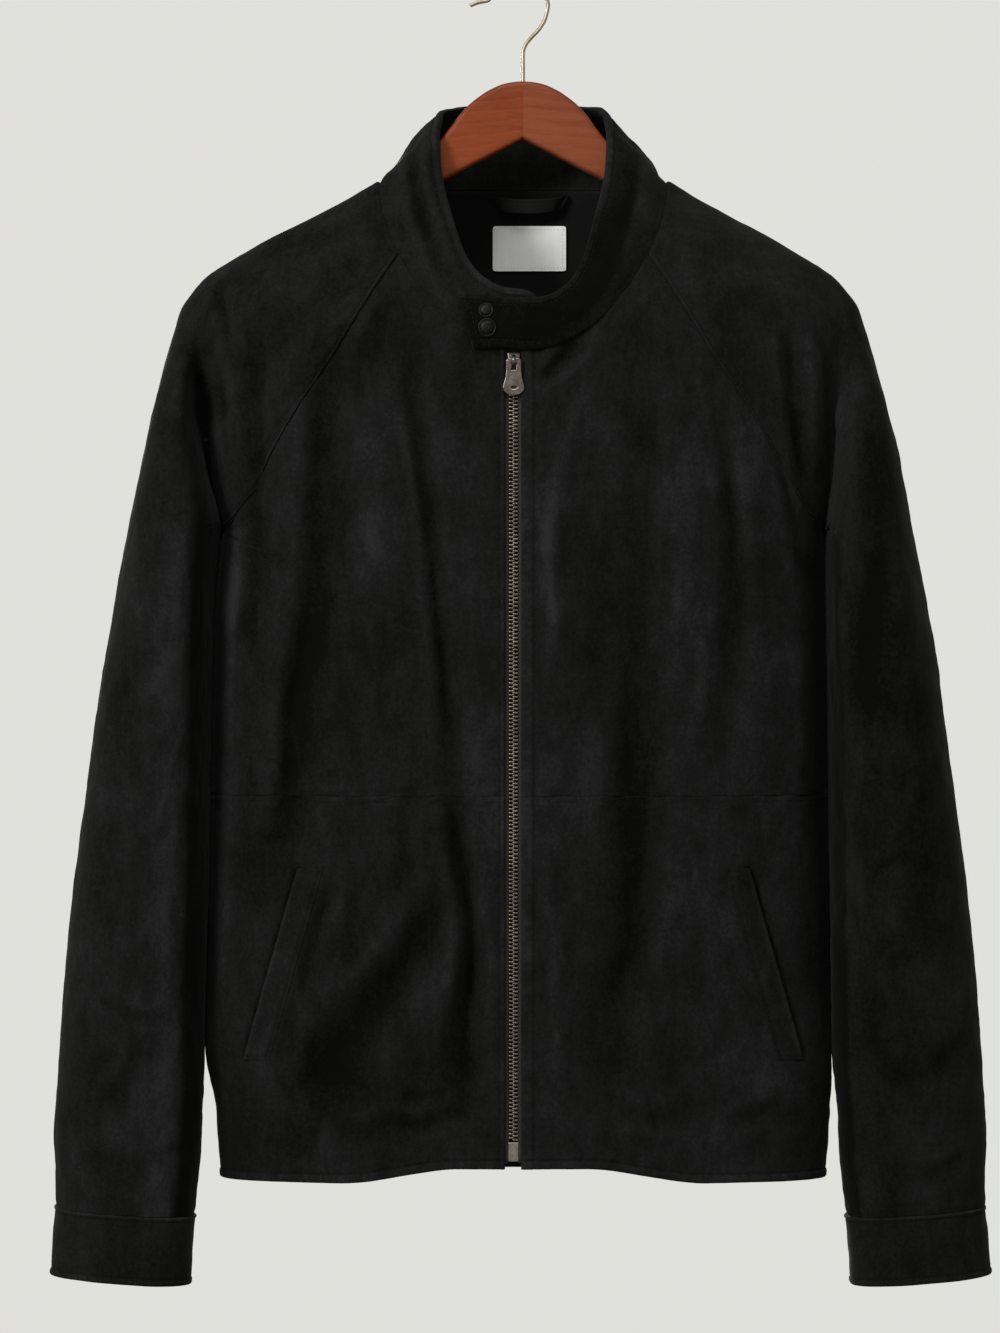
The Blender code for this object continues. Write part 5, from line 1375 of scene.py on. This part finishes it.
def pocket_welt(side):
    (x0, z0), (x1, z1) = POCKET
    down = stations([math.hypot(x1 - x0, z1 - z0)], 44, WELT_EDGE)[0]
    over = stations([POCKET_WIDTH], 7, WELT_EDGE)[0]
    v, t = (down / down[-1])[:, None], (over / POCKET_WIDTH)[None]
    x, z = np.broadcast_arrays(side * (mix(x0, x1, v) - POCKET_WIDTH * t), mix(z0, z1, v) + 0 * t)
    points = skin(x, z, "front")
    n = normals(points, (0.0, -1.0, 0.0))
    open_far, sewn_far = over[None] + 0 * x, POCKET_WIDTH - over[None] + 0 * x
    end_far = np.minimum(down, down[-1] - down)[:, None] + 0 * x
    lift = 1.0 - 0.68 * (1 - ease(0, 4.5, sewn_far)) - 0.5 * (1 - ease(0, 4.5, end_far))
    lift += 0.8 * bell(open_far, 3.0) * ease(2, 12, end_far)
    lift += rolled(open_far) * 0.7 + rolled(sewn_far, 0.5) + 0.12 * waves(x, z, 800 + side, 12, 30)
    lift -= 0.35 * bell(sewn_far - WELT_STITCH, 0.5) + 0.3 * bell(end_far - WELT_STITCH, 0.5)
    lift = np.maximum(lift, 0.35)
    outer, inner = off(points, n, lift), off(points, n, np.maximum(lift - 1.3, 0.08))
    # Painted light on the welt's rolled open edge and beside its stitching, painted shade in its stitch lines
    tone = 0.5 + painted_fold_shading(x, z, "front") + 0.24 * bell(open_far - 1.2, 1.5)
    tone -= 0.14 * bell(sewn_far - WELT_STITCH, 1.0) + 0.10 * bell(end_far - WELT_STITCH, 0.8)
    tone += 0.08 * bell(sewn_far - 4.5, 1.2)
    place_sheet(f"pocket_welt_{SIDES[side]}", outer, inner, [SUEDE], tone=tone, bulge=0.35)
    sew(*line_at(outer, n, sewn_far, WELT_STITCH), pitch=2.9, length=2.2)
    for end in (WELT_STITCH, down[-1] - WELT_STITCH):
        i = int(np.argmin(np.abs(down - end)))
        sew(outer[i], n[i], pitch=2.4, length=1.9)


def inside_back(x, z, *depths):
    """Points that lie at some depths in from the back's outer face, and that face's normals."""
    points = skin(x, z, "back", plain=True)
    n = normals(points, (0.0, 1.0, 0.0))
    return [off(points, n, -depth) for depth in depths] + [n]


def neck_facing():
    v, t = np.linspace(0, 1, 46)[:, None], np.linspace(-1, 1, 61)[None]
    z = mix(-133.8, -236.0, v) + 0 * t
    half = np.minimum(78.0 * (1 - (0.98 * v) ** 2.6) ** 0.5, raglan["back"](z) - 4.0)
    x = half * t
    near = np.minimum(half * (1 - np.abs(t)), (v + 0 * t) * 100)
    depth = 3.0 + 0.14 * waves(x, z, 900, 14, 40) + 0.25 * bell(near - 3.0, 0.9)
    outer, inner, _ = inside_back(x, z, depth, depth + FACING_WALL)
    place_sheet("neck_facing", inner, outer, [FACING], slot="lining", held="stretched", bulge=0.35)


def label():
    width, height = LABEL_SIZE
    left, top = LABEL_CORNER
    across, down = stations([width], 16, LABEL_EDGE)[0], stations([height], 9, LABEL_EDGE)[0]
    x, z = np.meshgrid(left + across, top - down)
    near_x, near_z = np.minimum(across, width - across)[None], np.minimum(down, height - down)[:, None]
    near = np.minimum(near_x + 0 * z, near_z + 0 * z)
    rise = BEHIND_FACING + 0.70 + 0.12 * np.sin(x / 7.0) * ease(0, 8, near) - 0.12 * bell(near - 1.4, 0.5)
    rise = rise + 0.2 * ease(0, 10, near)
    shift = 0.4 * bell(near_x, 0.9) * bell(near_z, 0.9)
    x = x + shift * np.sign(left + width / 2 - x)
    z = z + shift * np.sign(top - height / 2 - z)
    outer, inner, n = inside_back(x, z, rise + 0.45, rise)
    place_sheet("label", outer, inner, [LABEL], slot="label", held="stretched", bulge=0.35)
    lines = [(outer[i], -n[i]) for i in (4, -5)] + [(outer[:, j], -n[:, j]) for j in (4, -5)]
    parts = [stitches(*line, radius=0.16, pitch=2.2, length=1.6) for line in lines]
    settle(joined("label_stitches", parts, LABEL_THREAD), "label")


def hanger_loop():
    """A folded strip whose ends are sewn in at the neck seam, and whose middle hangs away from it."""
    across = stations([LOOP_WIDTH], 5, LOOP_EDGE)[0]
    t, v = np.linspace(0, 1, 72)[None], (across / LOOP_WIDTH)[:, None]
    x = LOOP_MIDDLE + (t - 0.5) * (LOOP_LENGTH - LOOP_SLANT * v)
    bow = np.sin(np.pi * np.clip(t, 0.0001, 0.9999)) ** 0.4
    z = -135.2 - LOOP_WIDTH * v - 2.4 * bow + 0 * x
    depth = BEHIND_FACING + 0.3 + 10.0 * bow + 0 * x
    near = np.minimum(across, LOOP_WIDTH - across)[:, None] + 0 * x
    roll = rolled(near, 0.9) - 0.2 * bell(near - 1.9, 0.5)
    outer, inner, n = inside_back(x, z, depth + 1.9 + roll, depth + 0.4 - roll)
    place_sheet("hanger_loop", outer, inner, [LOOP], slot="lining", bulge=0.4)
    parts = [stitches(outer[i], -n[i], radius=0.2, pitch=2.6, length=2.0) for i in (4, -5)]
    settle(joined("loop_stitches", parts, THREAD), "lining")


def zip_tape(side):
    z, t = np.linspace(*TAPE_ENDS, 150)[:, None], np.linspace(0, 1, 12)[None]
    x = ZIP_X + side * (np.where(z >= -262.0, 4.9, 3.2) + t * TAPE_WIDTH)
    z = z + 0 * x
    middle = ZIP_X + 0 * x
    leaning = skin_y(x, z, "front", plain=True) - skin_y(middle, z, "front", plain=True)
    y = skin_y(middle, z, "front") + 0.35 * leaning + BEHIND_FRONT + 0.05 * np.sin(z * 2.4) * (t < 0.9)
    cord = 0.55 * bell(t * TAPE_WIDTH - 0.6, 0.7)
    outer, inner = xyz(x, y - cord, z), xyz(x, y + 0.7 + cord * 0.5, z)
    place_sheet(f"zip_tape_{SIDES[side]}", outer, inner, [TAPE], slot="zip_tape", bulge=0.35)


def zip_teeth():
    """Cast teeth that mesh in turn from both tapes, each with a rounded head and a waisted neck."""
    parts = []
    for side in SIDES:
        tooth = []
        for px, h in TOOTH:
            d = 1.15 if px < 3 else 0.95
            upper = [(d, 0.72 * h), (0.8 * d, h), (-0.8 * d, h), (-d, 0.72 * h)]
            tooth += [(ZIP_X + side * px, dy, dz) for dy, dz in [(y, -z) for y, z in upper[::-1]] + upper]
        faces = [ring_faces(len(TOOTH), 8)[:, ::side]]
        for first, turn in ((0, -side), (8 * len(TOOTH) - 8, side)):
            ring = np.arange(first, first + 8)[::turn]
            faces.append(ring[np.array(((0, 1, 2, 3), (0, 3, 4, 7), (4, 5, 6, 7)))])
        for z in np.arange(*TEETH_ENDS, -TOOTH_PITCH) + (0 if side < 0 else -TOOTH_PITCH / 2):
            y = float(skin_y(ZIP_X + 0 * z, z, "front")) + BEHIND_FRONT + 0.4
            parts.append((np.array(tooth) + (0, y, z), np.vstack(faces)))
    settle(joined("zip_teeth", parts, TEETH), "zip_metal", "zip_chain")


def pull_dish():
    """The tarnished bottom of the pull's dished oval."""
    turn = full_turn(40)
    shares = np.array((0.02, 0.3, 0.55, 0.75, 0.9, 1.0))[:, None]
    (x, y, z), (half_x, half_z) = DISH_PLACE, DISH_HALF
    x = x + half_x * shares * np.cos(turn)
    front = xyz(x, y + DISH_DEEP * (1 - shares**2) - 0.03 + 0 * x, z + half_z * shares * np.sin(turn))
    rows = np.concatenate([front, (front + (0, 0.05, 0))[::-1]])
    dish = joined("pull_dish", [(rows.reshape(-1, 3), ring_faces(len(rows), 40))], TARNISH)
    settle(dish, "pull_metal", body="pull_tab")


# ---- Snaps


def snap(name, x, z, radius, height, collar_grid):
    outer, n, deg = collar_grid
    away = np.hypot(outer[..., 0] - x, outer[..., 2] - z) + 1000 * (deg < 330)
    i, j = np.unravel_index(np.argmin(away), away.shape)
    axis = unit(n[i, j] + (0.0, -0.5, 0.0))
    centre = np.array((x, outer[i, j, 1], z)) - axis * SNAP_SUNK
    h = height + SNAP_SUNK
    profile = [(0, -0.6), (0.96 * radius, -0.6), (radius, -0.3)] + [(r * radius, up * h) for r, up in SNAP_PROFILE]
    settle(joined(name, [revolved(profile, centre, axis, 48)], SNAP), "snap_metal", name)


# ---- Hanger


def hanger_arm(side):
    xs = np.concatenate([np.linspace(0.02, 1.6, 4), np.linspace(2.4, 186, 110), np.linspace(188, 196.5, 10)])
    half, turn = ARM_THICK / 2, np.linspace(0, math.pi / 2, 6)
    edges = []
    for column, up in ((1, 1), (2, -1)):
        line = np.stack([xs, smooth(ARM, column)(xs)], axis=-1)
        d = unit(np.gradient(line, axis=0))
        n = np.stack([-d[:, 1], d[:, 0]], axis=-1)
        edges.append((line, n * np.sign(n[:, 1:]) * up))
    r = np.minimum(ARM_ROUNDING, (edges[0][0] - edges[1][0])[:, 1] * 0.45)
    columns, tone_and_painted_shade = [], []

    def add(p, y, shade):
        columns.append(xyz(side * mix(xs, p[:, 0], ease(0.0, 8.0, xs)), y + 0 * xs, p[:, 1]))
        tone_and_painted_shade.append(shade + 0 * xs)

    for (line, n), (far_line, far_n), face in zip(edges, edges[::-1], (1, -1)):
        for facing, angles in ((-face, turn), (face, turn[::-1])):
            for a in angles:
                inset, deep = r * (1 - math.sin(a)), half - r * (1 - math.cos(a))
                # Painted shade: the rounded rims darken as they turn from the broad face to the narrow edge
                add(off(line, n, -inset), facing * deep, 0.46 - 0.30 * math.sin(a) ** 2)
        for k in range(1, 9):
            add(mix(off(line, n, -r), off(far_line, far_n, -r), k / 9), face * half, 0.5)
    loops, tone_and_painted_shade = np.stack(columns, axis=1), np.stack(tone_and_painted_shade, axis=1)
    x, z = loops[..., 0], loops[..., 2]
    # Painted shade towards the top and painted light lower down, waves of tone along the arm, darker far out on the
    # wearer's right
    tone_and_painted_shade += 0.12 * ease(-82.0, -120.0, z) - 0.08 + 0.06 * np.sin(x / 21.0 + side)
    tone_and_painted_shade -= 0.10 * ease(30.0, 58.0, np.abs(x)) * (side < 0)
    count, around = loops.shape[:2]
    caps = count * around + np.arange(2 * around).reshape(2, around)
    j = np.arange(around // 2 - 1)
    corners = np.stack([j, j + 1, around - 2 - j, around - 1 - j], axis=-1)
    faces = np.vstack([ring_faces(count, around), caps[0, ::-1][corners], caps[1][corners]])[:, ::-side]
    name = f"hanger_arm_{SIDES[side]}"
    points = np.vstack([loops.reshape(-1, 3), loops[0], loops[-1]])
    tone = np.concatenate([tone_and_painted_shade.ravel(), tone_and_painted_shade[0], tone_and_painted_shade[-1]])
    settle(add_mesh(name, points, faces, [WOODS[side]], tone=tone), "wood", name)


def hanger_hook():
    """The wire, in the plane y = 0, its ends rounded."""
    cx, cz = HOOK_CENTRE
    bend = [(cx + HOOK_RADIUS * math.cos(a), cz + HOOK_RADIUS * math.sin(a)) for a in np.radians(range(0, 161, 10))]
    path = curve_through(list(STEM) + bend + list(HOOK_TIP), 5)
    route = xyz(path[:, 0], 0 * path[:, 0], path[:, 1])
    tangent = unit(np.gradient(route, axis=0))
    side = unit(np.cross(tangent, (0.0, 1.0, 0.0)))
    other = np.cross(tangent, side)
    caps = ((1.0, 0.12), (0.75, 0.62), (0.35, 0.93), (0.02, 1.0))
    rows = [(0, share, -ahead) for share, ahead in caps[::-1]]
    rows += [(i, 1.0, 0.0) for i in range(len(route))] + [(-1, share, ahead) for share, ahead in caps]
    turn = full_turn(18)[:, None]
    points = []
    for i, share, ahead in rows:
        ring = np.cos(turn) * side[i] + np.sin(turn) * other[i]
        points.append(route[i] + tangent[i] * WIRE_RADIUS * ahead + WIRE_RADIUS * share * ring)
    wire = (np.vstack(points), ring_faces(len(rows), 18)[:, (0, 3, 2, 1)])
    settle(joined("hanger_hook", [wire], WIRE), "wire", "hanger_hook")


# ---- All of it

for side in SIDES:
    front_panel(side, True, 112)
    front_panel(side, False, 84)
    sleeve_panel(side, "front")
    sleeve_panel(side, "back")
    for piece in (cuff, pocket_welt, zip_tape, hanger_arm):
        piece(side)
back_panel()
collar_grid = collar()
for piece in (neck_facing, label, hanger_loop, zip_teeth):
    piece()
snap("snap_upper", -24.2, -223.9, 4.8, 1.6, collar_grid)
snap("snap_lower", -23.4, -235.2, 6.1, 2.2, collar_grid)
hanger_hook()
pull_dish()
settle(joined("stitching", made_threads, THREAD), "suede")

for node, finish in (("zip_slider", SLIDER), ("zip_pull", PULL), ("zip_box", BOX)):
    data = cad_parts[node].data
    data.materials.clear()
    data.materials.append(finish)

# ---- Stage, light and camera. Places are in metres.


def area_light(name, place, aim, size, power):
    data = bpy.data.lights.new(name, "AREA")
    data.shape, data.size, data.energy = "DISK", size, power
    obj = bpy.data.objects.new(name, data)
    bpy.context.scene.collection.objects.link(obj)
    obj.location = place
    obj.rotation_euler = (Vector(aim) - Vector(place)).to_track_quat("-Z", "Y").to_euler()


ground = Look("floor", Roughness=0.85)
ground.feed("Base Color", ground.ramp(ground.noise(9.0, 4.0), (0.3, (0.33, 0.33, 0.32)), (0.7, (0.36, 0.36, 0.35))))
disc = revolved(((0, 0), (3000, 0), (3000, -20), (0, -20)), (0, 0, FLOOR_Z), (0, 0, 1), 96)
joined("floor", [disc], ground.made)

world = bpy.data.worlds.new("studio")
world.use_nodes = True
background = world.node_tree.nodes["Background"].inputs
background["Color"].default_value = (0.752, 0.748, 0.716, 1)
background["Strength"].default_value = 1.0
bpy.context.scene.world = world
bpy.context.scene.view_settings.view_transform = "Standard"

area_light("key", (-1.75, -1.75, 0.6), (0, 0, -0.42), 0.7, 66)
area_light("top", (-0.25, -1.5, 1.6), (0, 0, -0.3), 0.9, 27)
area_light("behind", (-0.5, 2.7, 0.1), (0, 0, -0.42), 1.0, 85)

camera_data = bpy.data.cameras.new("camera")
camera_data.sensor_width, camera_data.lens, camera_data.clip_end = 36.0, 100.25, 50.0
camera = bpy.data.objects.new("camera", camera_data)
bpy.context.scene.collection.objects.link(camera)
camera.location = (-0.0152, -2.45, -0.4531)
camera.rotation_euler = (math.radians(90), 0, 0)
bpy.context.scene.camera = camera
